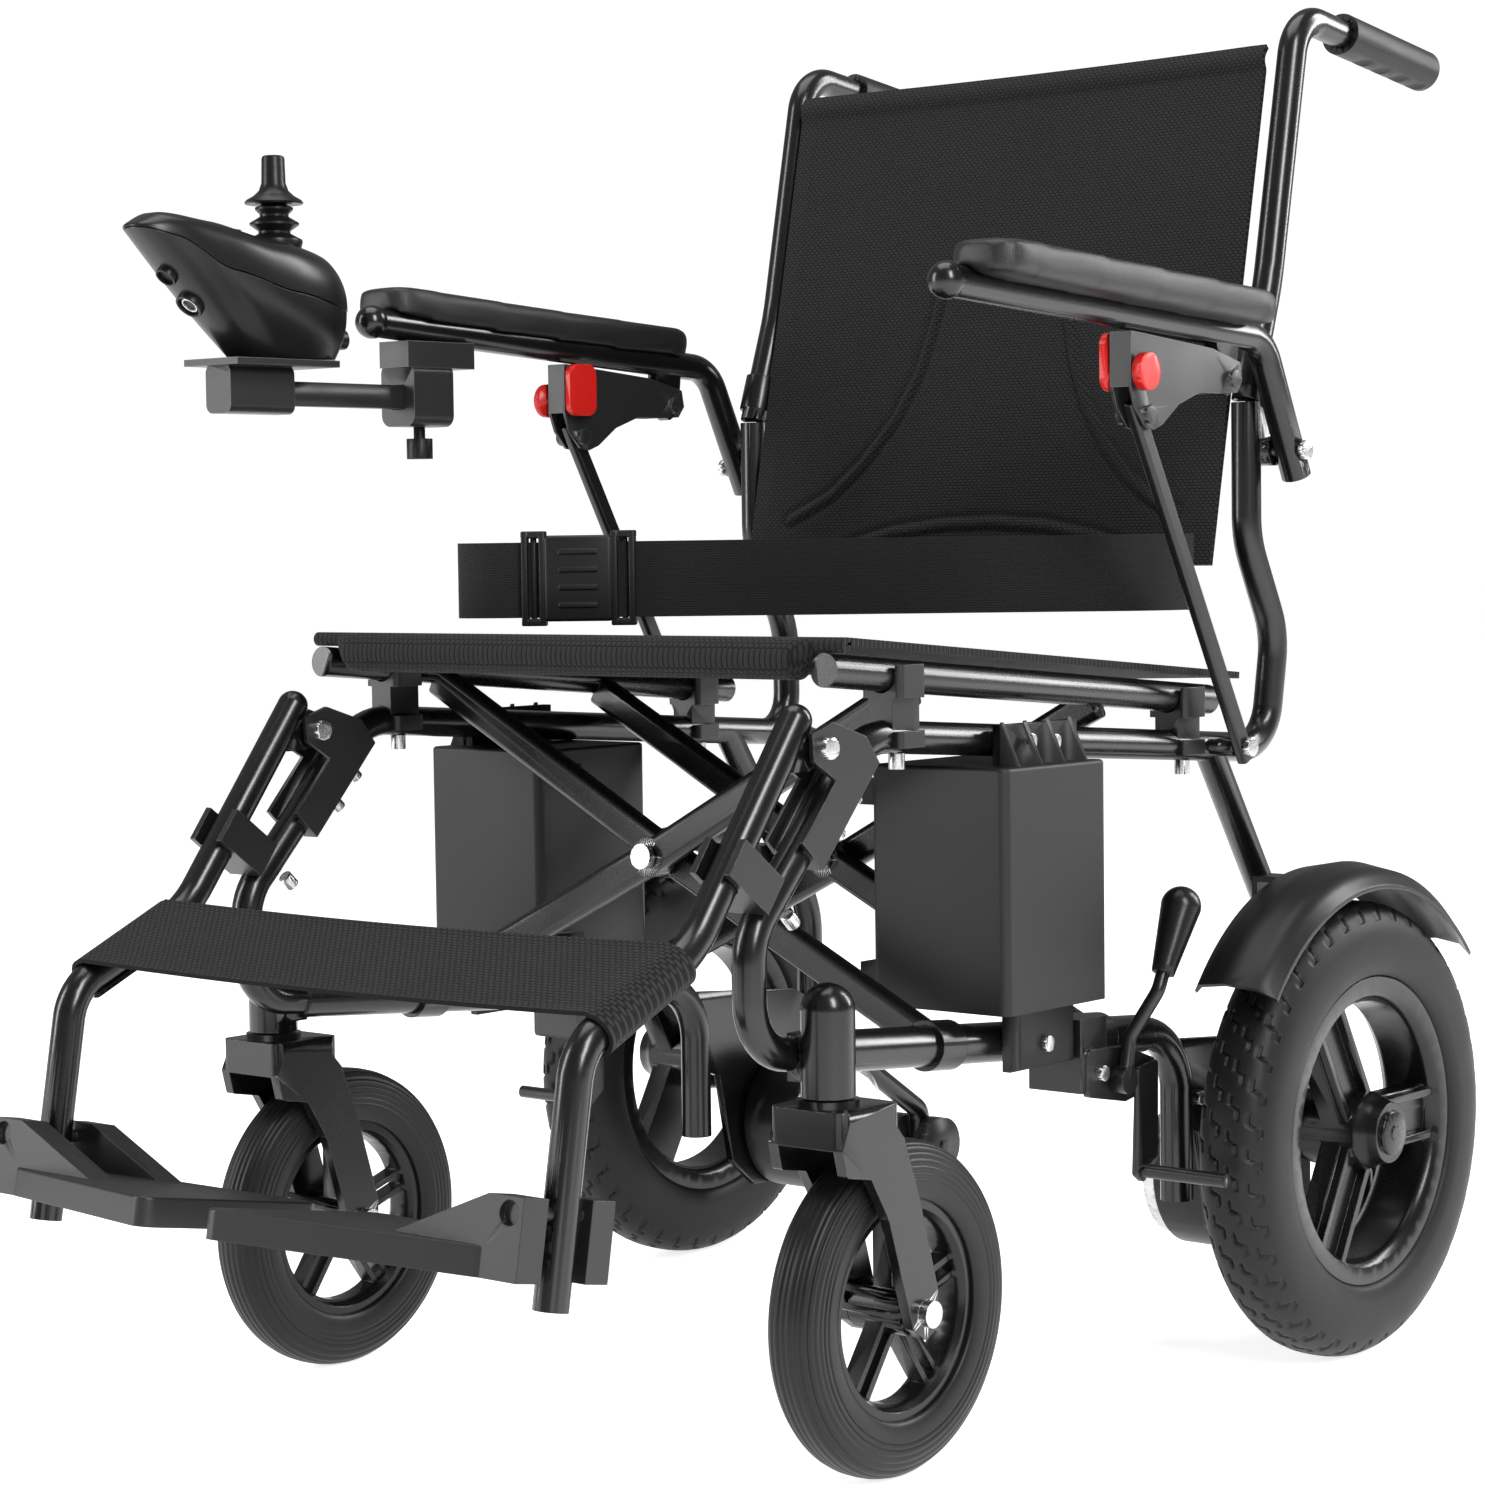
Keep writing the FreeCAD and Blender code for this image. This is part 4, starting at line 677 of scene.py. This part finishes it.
def ribbon(name, path, height, thickness, steps):
    """A flat strap standing on edge along a smooth path of (x, y) points, from z to z + height."""
    curve = bpy.data.curves.new(name, "CURVE")
    curve.dimensions = "3D"
    spline = curve.splines.new("NURBS")
    spline.points.add(len(path) - 1)
    for point, (x, y) in zip(spline.points, path):
        point.co = (x, y, 0, 1)
    spline.order_u = 3
    spline.use_endpoint_u = True
    curve.resolution_u = steps
    guide = bpy.data.objects.new(name + "_guide", curve)
    line = [v.co.copy() for v in bpy.data.meshes.new_from_object(guide).vertices]
    bpy.data.objects.remove(guide)
    rows = 12

    def point_at(u, v):
        p = line[min(len(line) - 1, round(u * (len(line) - 1)))]
        return p.x, p.y, height[0] + (height[1] - height[0]) * v
    return surface(name, point_at, len(line) - 1, rows, thickness)


webbing = Finish("belt_webbing", Specular_IOR_Level=0.2, Sheen_Weight=0.05)
belt_axes = webbing.axes()
RIB_PITCH, TWILL_PITCH = 0.0016, 0.0022
rib_lines = (belt_axes[2] * (2 * pi / RIB_PITCH)).wave() * 0.5 + 0.5
twill_run = (belt_axes[0] + belt_axes[1] * 0.7) * (2 * pi / TWILL_PITCH) + belt_axes[2] * 2600.0
twill = twill_run.wave() * 0.5 + 0.5
weft = webbing.noise(900.0, 2.0)
threads = rib_lines * 0.5 + twill * 0.3 + weft * 0.2
webbing.feed(Base_Color=webbing.colours(threads, (0.0035, 0.0035, 0.0037, 1), (0.013, 0.013, 0.014, 1)),
             Roughness=weft * 0.15 + 0.62)
webbing.bump(rib_lines * 0.5 + twill * 0.5 + weft * 0.2, 0.00035, 0.8)
BELT_Z = (0.5005, 0.5515)
BELT_PATH = ((-0.2025, 0.219), (-0.2032, 0.10), (-0.2035, -0.045), (-0.2030, -0.072), (-0.186, -0.0725),
             (-0.168, -0.066), (-0.12, -0.034), (0.05, 0.086), (0.15, 0.158), (0.195, 0.185),
             (0.2032, 0.219))
belt = ribbon("belt_strap", BELT_PATH, BELT_Z, 0.0022, 14)
mount(belt, "belt", "belt_webbing", webbing)
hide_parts("seat_belt")

buckle_plastic = moulded("buckle_plastic", (0.004, 0.004, 0.0042, 1), (0.0075, 0.0075, 0.008, 1),
                         0.42, 900.0, 0.00005)
BUCKLE_AT = (-0.122, -0.0344, 0.527)
BUCKLE_TURN = 35.0


def buckle_block(name, centre, size, bevel=0.0012):
    """One moulded block of the buckle, turned to lie along the webbing."""
    bpy.ops.object.select_all(action="DESELECT")
    bpy.ops.mesh.primitive_cube_add(size=1.0)
    piece = bpy.context.object
    piece.name = name
    piece.scale = size
    bpy.ops.object.transform_apply(location=False, rotation=False, scale=True)
    edge = piece.modifiers.new("edge", "BEVEL")
    edge.width = bevel
    edge.segments = 3
    bpy.ops.object.modifier_apply(modifier=edge.name)
    turn_to = Matrix.Rotation(radians(BUCKLE_TURN), 4, "Z")
    set_in = turn_to @ Matrix.Translation(Vector(centre))
    piece.data.transform(Matrix.Translation(Vector(BUCKLE_AT)) @ set_in)
    smooth(piece)
    return piece


plates = [buckle_block("buckle", (0, -0.0015, 0), (0.046, 0.011, 0.058), 0.0025)]
for end in (-1, 1):
    for x in (0.0245, 0.0365):
        plates.append(buckle_block("rail", (end * x, -0.001, 0), (0.0045, 0.010, 0.064)))
    for z in (-1, 1):
        plates.append(buckle_block("bar", (end * 0.0305, -0.001, z * 0.0295), (0.017, 0.009, 0.005)))
    plates.append(buckle_block("tongue", (end * 0.031, 0.001, 0), (0.004, 0.005, 0.055)))
for z in (-0.018, -0.006, 0.006, 0.018):
    plates.append(buckle_block("ridge", (0.0, -0.0072, z), (0.026, 0.0016, 0.0035), 0.0006))
bpy.ops.object.select_all(action="DESELECT")
for piece in plates:
    piece.select_set(True)
bpy.context.view_layer.objects.active = plates[0]
bpy.ops.object.join()
buckle = plates[0]
buckle.name = "belt_buckle"
mount(buckle, "belt", "belt_webbing", buckle_plastic)

# ---------------------------------------------------------------- armrest tubes and mechanism
# Bent tubes with a domed end, a folded steel bracket under each, its push button and pull lever, and
# the U-section strut down to the side frame.
bracket_steel = Finish("bracket_steel", Metallic=0.35, Specular_IOR_Level=0.5)
grey = bracket_steel.noise(40.0, 3.0)
sparkle = bracket_steel.noise(1200.0, 2.0)
# The colour turns lighter grey along every edge as a painted highlight, and the fine sparkle specks in it
# are painted glints, over near-black steel.
painted_edge_highlight = bracket_steel.edges(0.001)
bright = painted_edge_highlight * 0.6 + sparkle * 0.1
bracket_steel.feed(Roughness=grey * 0.15 + 0.3,
                   Base_Color=bracket_steel.colours(bright, (0.014, 0.014, 0.015, 1),
                                                    (0.16, 0.16, 0.165, 1)))
bracket_steel.bump(sparkle, 0.00005, 0.6, edge=0.0006)
red_plastic = moulded("red_plastic", (0.42, 0.008, 0.006, 1), (0.55, 0.014, 0.01, 1),
                      0.3, 900.0, 0.00002)
for side, sign in SIDES:
    dress("arm_tube_" + side, tube_paint)
    dress("arm_plate_" + side, bracket_steel)
    dress("arm_strut_" + side, bracket_paint)
    dress("arm_release_" + side, red_plastic)

# ---------------------------------------------------------------- armrest pads
# Moulded polyurethane foam with a closed skin of fine leather grain, over a board that is screwed to
# the armrest tube.  A short cloth simulation swells the skin a little.
pad_skin = Finish("pad_skin", Specular_IOR_Level=0.45)
pores = pad_skin.node("ShaderNodeTexVoronoi", {"feature": "DISTANCE_TO_EDGE"},
                      {"Vector": pad_skin.place(), "Scale": 700.0})
creases = pores.step(0.0, 0.18)
tone = pad_skin.noise(16.0, 3.0)
pad_skin.feed(Base_Color=pad_skin.colours(tone, (0.004, 0.004, 0.0042, 1), (0.0085, 0.0085, 0.009, 1)),
              Roughness=tone * 0.12 + 0.42 - creases * 0.06)
pad_skin.bump(creases, 0.00008, 0.7)
MOULD_SHRINK = 0.985
PUFF_FRAMES = 20
PUFF_LIMIT = 0.0012
for side, sign in SIDES:
    node = "arm_pad_" + side
    pad = clean_copy(node)
    pad.name = "arm_cushion_" + side
    select_only(pad)
    low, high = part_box(node)
    middle = (low + high) / 2
    for vertex in pad.data.vertices:
        vertex.co = middle + (vertex.co - middle) * MOULD_SHRINK
    remesh = pad.modifiers.new("remesh", "REMESH")
    remesh.mode = "VOXEL"
    remesh.voxel_size = 0.004
    bpy.ops.object.modifier_apply(modifier=remesh.name)
    start = [vertex.co.copy() for vertex in pad.data.vertices]
    cloth = pad.modifiers.new("foam", "CLOTH")
    cloth.settings.use_pressure = True
    cloth.settings.uniform_pressure_force = 4.0
    cloth.settings.effector_weights.gravity = 0.0
    cloth.settings.tension_stiffness = 60.0
    cloth.settings.compression_stiffness = 60.0
    cloth.settings.bending_stiffness = 12.0
    cloth.point_cache.frame_start = 1
    cloth.point_cache.frame_end = PUFF_FRAMES
    for frame_number in range(1, PUFF_FRAMES + 1):
        bpy.context.scene.frame_set(frame_number)
    bpy.ops.object.modifier_apply(modifier=cloth.name)
    for vertex, origin in zip(pad.data.vertices, start):
        moved = vertex.co - origin
        if moved.length > PUFF_LIMIT:
            vertex.co = origin + moved.normalized() * PUFF_LIMIT
    relax = pad.modifiers.new("relax", "SMOOTH")
    relax.iterations = 4
    bpy.ops.object.modifier_apply(modifier=relax.name)
    soft = pad.modifiers.new("soft", "SUBSURF")
    soft.levels = soft.render_levels = 1
    bpy.ops.object.modifier_apply(modifier=soft.name)
    bpy.context.scene.frame_set(1)
    smooth(pad, 60)
    mount(pad, "arm_" + side, "pad_skin", pad_skin)
    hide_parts(node)

# ---------------------------------------------------------------- back tubes and push grips
# Bent tubes hinged on the posts, and soft PVC grips with finger notches pushed on to their ends.
# The tubes have the same powder coat as the side frames.
grip_rubber = rubber("grip_rubber", (0.005, 0.005, 0.0052, 1), (0.010, 0.010, 0.0103, 1), 0.45)
for side, sign in SIDES:
    dress("back_tube_" + side, tube_paint)
    dress("push_grip_" + side, grip_rubber)

# ---------------------------------------------------------------- footrest hangers
# Bent tubes that hook into the brackets on the side frames.  The right one carries the calf strap's
# fixed end.
for side, sign in SIDES:
    dress("hanger_tube_" + side, tube_paint)

# ---------------------------------------------------------------- calf strap
# A coarse woven polypropylene band stretched over both hanger tubes and wrapped round them, with a
# stitched hem along each edge.
STRAP_PITCH = atan2(0.031, 0.069)
strap_weave = woven("strap_weave", (0.0018, 0.0018, 0.002, 1), (0.024, 0.024, 0.026, 1), 0.0046, 0.0028,
                    (0, 1), 0.0009, turned=(-STRAP_PITCH, 0, 0))
STRAP_TOP = Vector((0, -0.3204, 0.317))
STRAP_FOOT = Vector((0, -0.3894, 0.286))
strap_along = (STRAP_FOOT - STRAP_TOP).normalized()
strap_out = Vector((0, strap_along.z, -strap_along.y)).normalized()
if strap_out.z < 0:
    strap_out = -strap_out
HANGER_X = 0.212
WRAP_R = 0.0122
STRAP_T = 0.0026
HEM_LIFT = 0.0011
STRAP_SAG = 0.0035
wrap_turn = radians(215)
strap_run = 2 * HANGER_X + 2 * WRAP_R * wrap_turn


def strap_point(u, v):
    along = STRAP_TOP.lerp(STRAP_FOOT, v)
    s = u * strap_run - strap_run / 2
    sign = 1 if s > 0 else -1
    beyond = abs(s) - HANGER_X
    if beyond <= 0:
        x, lift = s, WRAP_R - STRAP_SAG * max(0.0, 1 - (s / HANGER_X) ** 2)
    else:
        angle = beyond / WRAP_R
        x, lift = sign * (HANGER_X + sin(angle) * WRAP_R), cos(angle) * WRAP_R
    hem = HEM_LIFT * max(0.0, 1 - min(v, 1 - v) / 0.09)
    place = along + strap_out * (lift + (hem if beyond <= 0 else 0.0))
    return x, place.y, place.z


strap = surface("calf_band", strap_point, 220, 40, STRAP_T)
mount(strap, "hanger_right", "woven_strap", strap_weave)
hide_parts("calf_strap")
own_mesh(strap)

# ---------------------------------------------------------------- footplates
# Moulded nylon plates with a grid of fine raised dots where the shoe rests.  The dots are only on
# faces that look upwards.
DOT_PITCH = 0.004
footplate_plastic = Finish("footplate_plastic", Specular_IOR_Level=0.5)
dots_u, dots_v = footplate_plastic.axes(footplate_plastic.place(turned=(0, 0, radians(45))))[:2]
dots = ((dots_u * (2 * pi / DOT_PITCH)).wave() * (dots_v * (2 * pi / DOT_PITCH)).wave()).step(0.1, 0.6)
facing = footplate_plastic.node("ShaderNodeNewGeometry", output="Normal")
upward = footplate_plastic.axes(facing)[2].step(0.85, 0.95)
spark = footplate_plastic.noise(1100.0, 3.0)
footplate_plastic.feed(
    Base_Color=footplate_plastic.colours(dots * upward * 0.6, (0.007, 0.007, 0.0073, 1),
                                         (0.02, 0.02, 0.021, 1)),
    Roughness=spark * 0.12 + 0.36 + upward * 0.1)
footplate_plastic.bump(dots * upward + spark * 0.15, 0.0004, 0.8, edge=0.0009)
for side, sign in SIDES:
    dress("footplate_" + side, footplate_plastic, angle=14)

# ---------------------------------------------------------------- joystick controller
# Two moulded shells that meet along a curved joint line, with two sockets in the sloping front, a
# cable gland at the rear, and a rubber bellows round the stick.
shell_plastic = moulded("shell_plastic", (0.004, 0.004, 0.0042, 1), (0.0075, 0.0075, 0.008, 1),
                        0.3, 900.0, 0.00003)
knob_rubber = rubber("knob_rubber", (0.0035, 0.0035, 0.0037, 1), (0.007, 0.007, 0.0075, 1), 0.36)
shell_low, shell_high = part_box("controller_upper")
base_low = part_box("controller_lower")[0]
shell_x = (shell_low.x + shell_high.x) / 2
FRONT_Y, BACK_Y = shell_low.y - 0.001, shell_high.y
JOINT_LINE = ((0.0, 0.7545), (0.12, 0.7490), (0.33, 0.7290), (0.62, 0.7165), (1.0, 0.7055))
TOP_LINE = ((0.0, 0.7600), (0.10, 0.7665), (0.30, 0.7610), (0.55, 0.7525), (0.85, 0.7470), (1.0, 0.7400))
AROUND = 96


def along_line(line, t):
    """A smooth height on a line of (share of the length, height) points."""
    for (t0, z0), (t1, z1) in zip(line, line[1:]):
        if t <= t1:
            k = (t - t0) / (t1 - t0)
            return z0 + (z1 - z0) * (k * 0.5 + k * k * (3 - 2 * k) * 0.5)
    return line[-1][1]


def plan_point(i, shrink=1.0):
    """A point on the egg-shaped plan outline, drawn in towards its middle by shrink."""
    angle = 2 * pi * i / AROUND
    t = 0.5 - 0.5 * cos(angle)
    side_share = sin(angle)
    width = 0.0265 + 0.0145 * t ** 0.8
    x = width * abs(side_share) ** 0.72 * (1 if side_share > 0 else -1)
    middle_y = (FRONT_Y + BACK_Y) / 2 + 0.008
    y = FRONT_Y + (BACK_Y - FRONT_Y) * t
    return shell_x + x * shrink, middle_y + (y - middle_y) * shrink, t


def shell(name, rings):
    """A closed skin over rings of equal length, capped at both ends."""
    mesh = bpy.data.meshes.new(name)
    points = [p for ring in rings for p in ring]
    faces = []
    for base in range(0, (len(rings) - 1) * AROUND, AROUND):
        for i in range(AROUND):
            after = (i + 1) % AROUND
            faces.append((base + i, base + after, base + AROUND + after, base + AROUND + i))
    for k in (0, len(rings) - 1):
        points.append(tuple(sum(p[axis] for p in rings[k]) / AROUND for axis in range(3)))
        faces += [(k * AROUND + i, k * AROUND + (i + 1) % AROUND, len(points) - 1) for i in range(AROUND)]
    mesh.from_pydata(points, [], faces)
    piece = bpy.data.objects.new(name, mesh)
    bpy.context.scene.collection.objects.link(piece)
    select_only(piece)
    bpy.ops.object.mode_set(mode="EDIT")
    bpy.ops.mesh.select_all(action="SELECT")
    bpy.ops.mesh.normals_make_consistent(inside=False)
    bpy.ops.object.mode_set(mode="OBJECT")
    smooth(piece, 45)
    return piece


lower_rings = []
upper_rings = []
LEVELS = 18
LOWER_INSET = 0.992
FOOT_NARROWING = 0.68
FOOT_SETBACK = 0.069
FOOT_LENGTH = 0.080
SIDE_BULGE = 0.0035
JOINT_GAP = 0.0004
for k in range(LEVELS + 1):
    s = k / LEVELS
    ring = []
    for i in range(AROUND):
        x, y, t = plan_point(i, LOWER_INSET)
        base_x = shell_x + (x - shell_x) * FOOT_NARROWING
        base_y = base_low.y + FOOT_SETBACK + (y - FRONT_Y) / (BACK_Y - FRONT_Y) * FOOT_LENGTH
        z_top = along_line(JOINT_LINE, t) - JOINT_GAP
        bulge = sin(pi * s) * SIDE_BULGE
        out_x = 1 if x > shell_x else -1
        side_part = min(1.0, abs(x - shell_x) / 0.02)
        ring.append((x + (base_x - x) * s + out_x * bulge * side_part, y + (base_y - y) * s,
                     z_top + (base_low.z + 0.0002 - z_top) * s))
    lower_rings.append(ring)
for k in range(LEVELS + 1):
    a = pi / 2 * k / LEVELS
    shrink = max(0.02, cos(a) ** 0.42 if k < LEVELS else 0.02)
    rise = sin(a) ** 0.8
    ring = []
    for i in range(AROUND):
        x, y, t = plan_point(i, shrink)
        inner_t = max(0.0, min(1.0, (y - FRONT_Y) / (BACK_Y - FRONT_Y)))
        z_joint = along_line(JOINT_LINE, plan_point(i)[2]) + JOINT_GAP
        z_crown = along_line(TOP_LINE, inner_t) - 0.002 * ((x - shell_x) / 0.04) ** 2
        ring.append((x, y, z_joint + (max(z_crown, z_joint + 0.003) - z_joint) * rise))
    upper_rings.append(ring)
for name, rings, node in (("controller_base", lower_rings, "controller_lower"),
                          ("controller_top", upper_rings, "controller_upper")):
    skin = mount(shell(name, rings), "controller", "controller_plastic", shell_plastic)
    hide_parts(node)


def socket_ring(name, centre, direction, radius, depth, finish, slot="controller_plastic"):
    """A round boss standing along direction, with a sunk middle."""
    bpy.ops.object.select_all(action="DESELECT")
    bpy.ops.mesh.primitive_cylinder_add(vertices=40, radius=radius, depth=depth)
    piece = bpy.context.object
    piece.name = name
    bpy.ops.object.mode_set(mode="EDIT")
    bpy.ops.mesh.select_all(action="DESELECT")
    bpy.ops.object.mode_set(mode="OBJECT")
    for face in piece.data.polygons:
        face.select = face.normal.z > 0.9
    bpy.ops.object.mode_set(mode="EDIT")
    bpy.ops.mesh.inset(thickness=radius * 0.2, depth=0.0)
    bpy.ops.mesh.extrude_region_move(TRANSFORM_OT_translate={"value": (0, 0, -depth * 0.6)})
    bpy.ops.object.mode_set(mode="OBJECT")
    edge = piece.modifiers.new("edge", "BEVEL")
    edge.width = radius * 0.06
    edge.segments = 2
    bpy.ops.object.modifier_apply(modifier=edge.name)
    aim = Vector(direction).to_track_quat("Z", "Y").to_matrix().to_4x4()
    piece.data.transform(Matrix.Translation(centre) @ aim)
    smooth(piece)
    return mount(piece, "controller", slot, finish)


slope_top = Vector((shell_x, FRONT_Y, along_line(JOINT_LINE, 0.0)))
slope_foot = Vector((shell_x, base_low.y + FOOT_SETBACK, base_low.z))
slope_out = Vector((0, -abs(slope_top.z - slope_foot.z), -abs(slope_foot.y - slope_top.y))).normalized()
SOCKETS = ((0.36, 0.0072), (0.58, 0.0095))
for i, (share, radius) in enumerate(SOCKETS):
    at = slope_top.lerp(slope_foot, share) + slope_out * 0.0008
    socket_ring("controller_socket_%d" % (i + 1), at, slope_out, radius, 0.005, knob_rubber)
pins_at = slope_top.lerp(slope_foot, SOCKETS[1][0]) + slope_out * 0.0003
socket_ring("socket_pins", pins_at, slope_out, 0.0058, 0.003, zinc)
gland_at = Vector((shell_x + 0.006, BACK_Y - 0.016, base_low.z + 0.014))
socket_ring("cable_gland", gland_at, (0.12, 1, 0.05), 0.0068, 0.034, knob_rubber)

stick_low, stick_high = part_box("joystick")
stick_centre = ((stick_low.x + stick_high.x) / 2, (stick_low.y + stick_high.y) / 2, 0.0)
BELLOWS = ((0.7475, 0.0), (0.7475, 0.0175), (0.7515, 0.0185), (0.7530, 0.0180), (0.7570, 0.0105),
           (0.7585, 0.0105), (0.7625, 0.0162), (0.7640, 0.0162), (0.7680, 0.0095), (0.7695, 0.0095),
           (0.7725, 0.0125), (0.7740, 0.0125), (0.7760, 0.0080), (0.7760, 0.0))
bellows = lathe("bellows", BELLOWS, stick_centre, 64, axis="Z")
smooth(bellows, 40)
mount(bellows, "stick_gimbal", "boot_rubber", knob_rubber)
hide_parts("joystick_boot")
STICK = ((0.7762, 0.0), (0.7762, 0.0188), (0.7772, 0.0195), (0.7790, 0.0180), (0.7815, 0.0135),
         (0.7850, 0.0098), (0.7900, 0.0080), (0.8060, 0.0076), (0.8074, 0.0070), (0.8080, 0.0058),
         (0.8080, 0.0))
stick = lathe("stick_knob", STICK, stick_centre, 64, axis="Z")
smooth(stick, 40)
mount(stick, "stick", "knob_rubber", knob_rubber)
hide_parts("joystick")
dress("clamp_screw", knob_rubber)
for node in ("controller_bar", "controller_clamp"):
    dress(node, bracket_steel, angle=24)

# ---------------------------------------------------------------- floor and lights
# A pale floor under four large soft lights in a bright plain room.  The camera sees the room as white
# paper, and the chair is lit by a much weaker one, so that the blacks stay black.
floor_finish = Finish("floor", Base_Color=(0.9, 0.9, 0.9, 1), Roughness=0.7,
                      Emission_Color=(1, 1, 1, 1), Emission_Strength=0.77)
bpy.ops.object.select_all(action="DESELECT")
bpy.ops.mesh.primitive_plane_add(size=60.0)
floor = bpy.context.object
floor.name = "floor"
floor.data.materials.append(floor_finish.material)
floor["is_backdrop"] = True


def area_light(name, place, target, size, power):
    data = bpy.data.lights.new(name, "AREA")
    data.shape = "RECTANGLE"
    data.size, data.size_y = size
    data.energy = power
    light = bpy.data.objects.new(name, data)
    bpy.context.scene.collection.objects.link(light)
    light.location = place
    light.rotation_euler = (Vector(target) - Vector(place)).to_track_quat("-Z", "Y").to_euler()


world = bpy.data.worlds.new("studio")
bpy.context.scene.world = world
world.use_nodes = True
sky = world.node_tree
room = sky.nodes["Background"]  # what lights the chair
room.inputs["Color"].default_value = (1, 1, 1, 1)
room.inputs["Strength"].default_value = 0.26
paper = sky.nodes.new("ShaderNodeBackground")  # what the camera sees
paper.inputs["Color"].default_value = (1, 1, 1, 1)
paper.inputs["Strength"].default_value = 1.05
seen = sky.nodes.new("ShaderNodeLightPath")
choose = sky.nodes.new("ShaderNodeMixShader")
sky.links.new(seen.outputs["Is Camera Ray"], choose.inputs[0])
sky.links.new(room.outputs[0], choose.inputs[1])
sky.links.new(paper.outputs[0], choose.inputs[2])
sky.links.new(choose.outputs[0], sky.nodes["World Output"].inputs["Surface"])
bpy.context.scene.view_settings.view_transform = "Standard"
chair_middle = (0, 0, 0.45)
area_light("key", (2.7, -1.2, 2.2), chair_middle, (0.7, 2.0), 100)
area_light("fill", (-2.2, -2.4, 1.4), chair_middle, (0.6, 2.2), 60)
area_light("rim", (1.6, 2.6, 1.9), chair_middle, (0.6, 2.2), 80)
area_light("top", (-0.3, -0.2, 3.6), chair_middle, (2.4, 2.4), 60)

low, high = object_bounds()
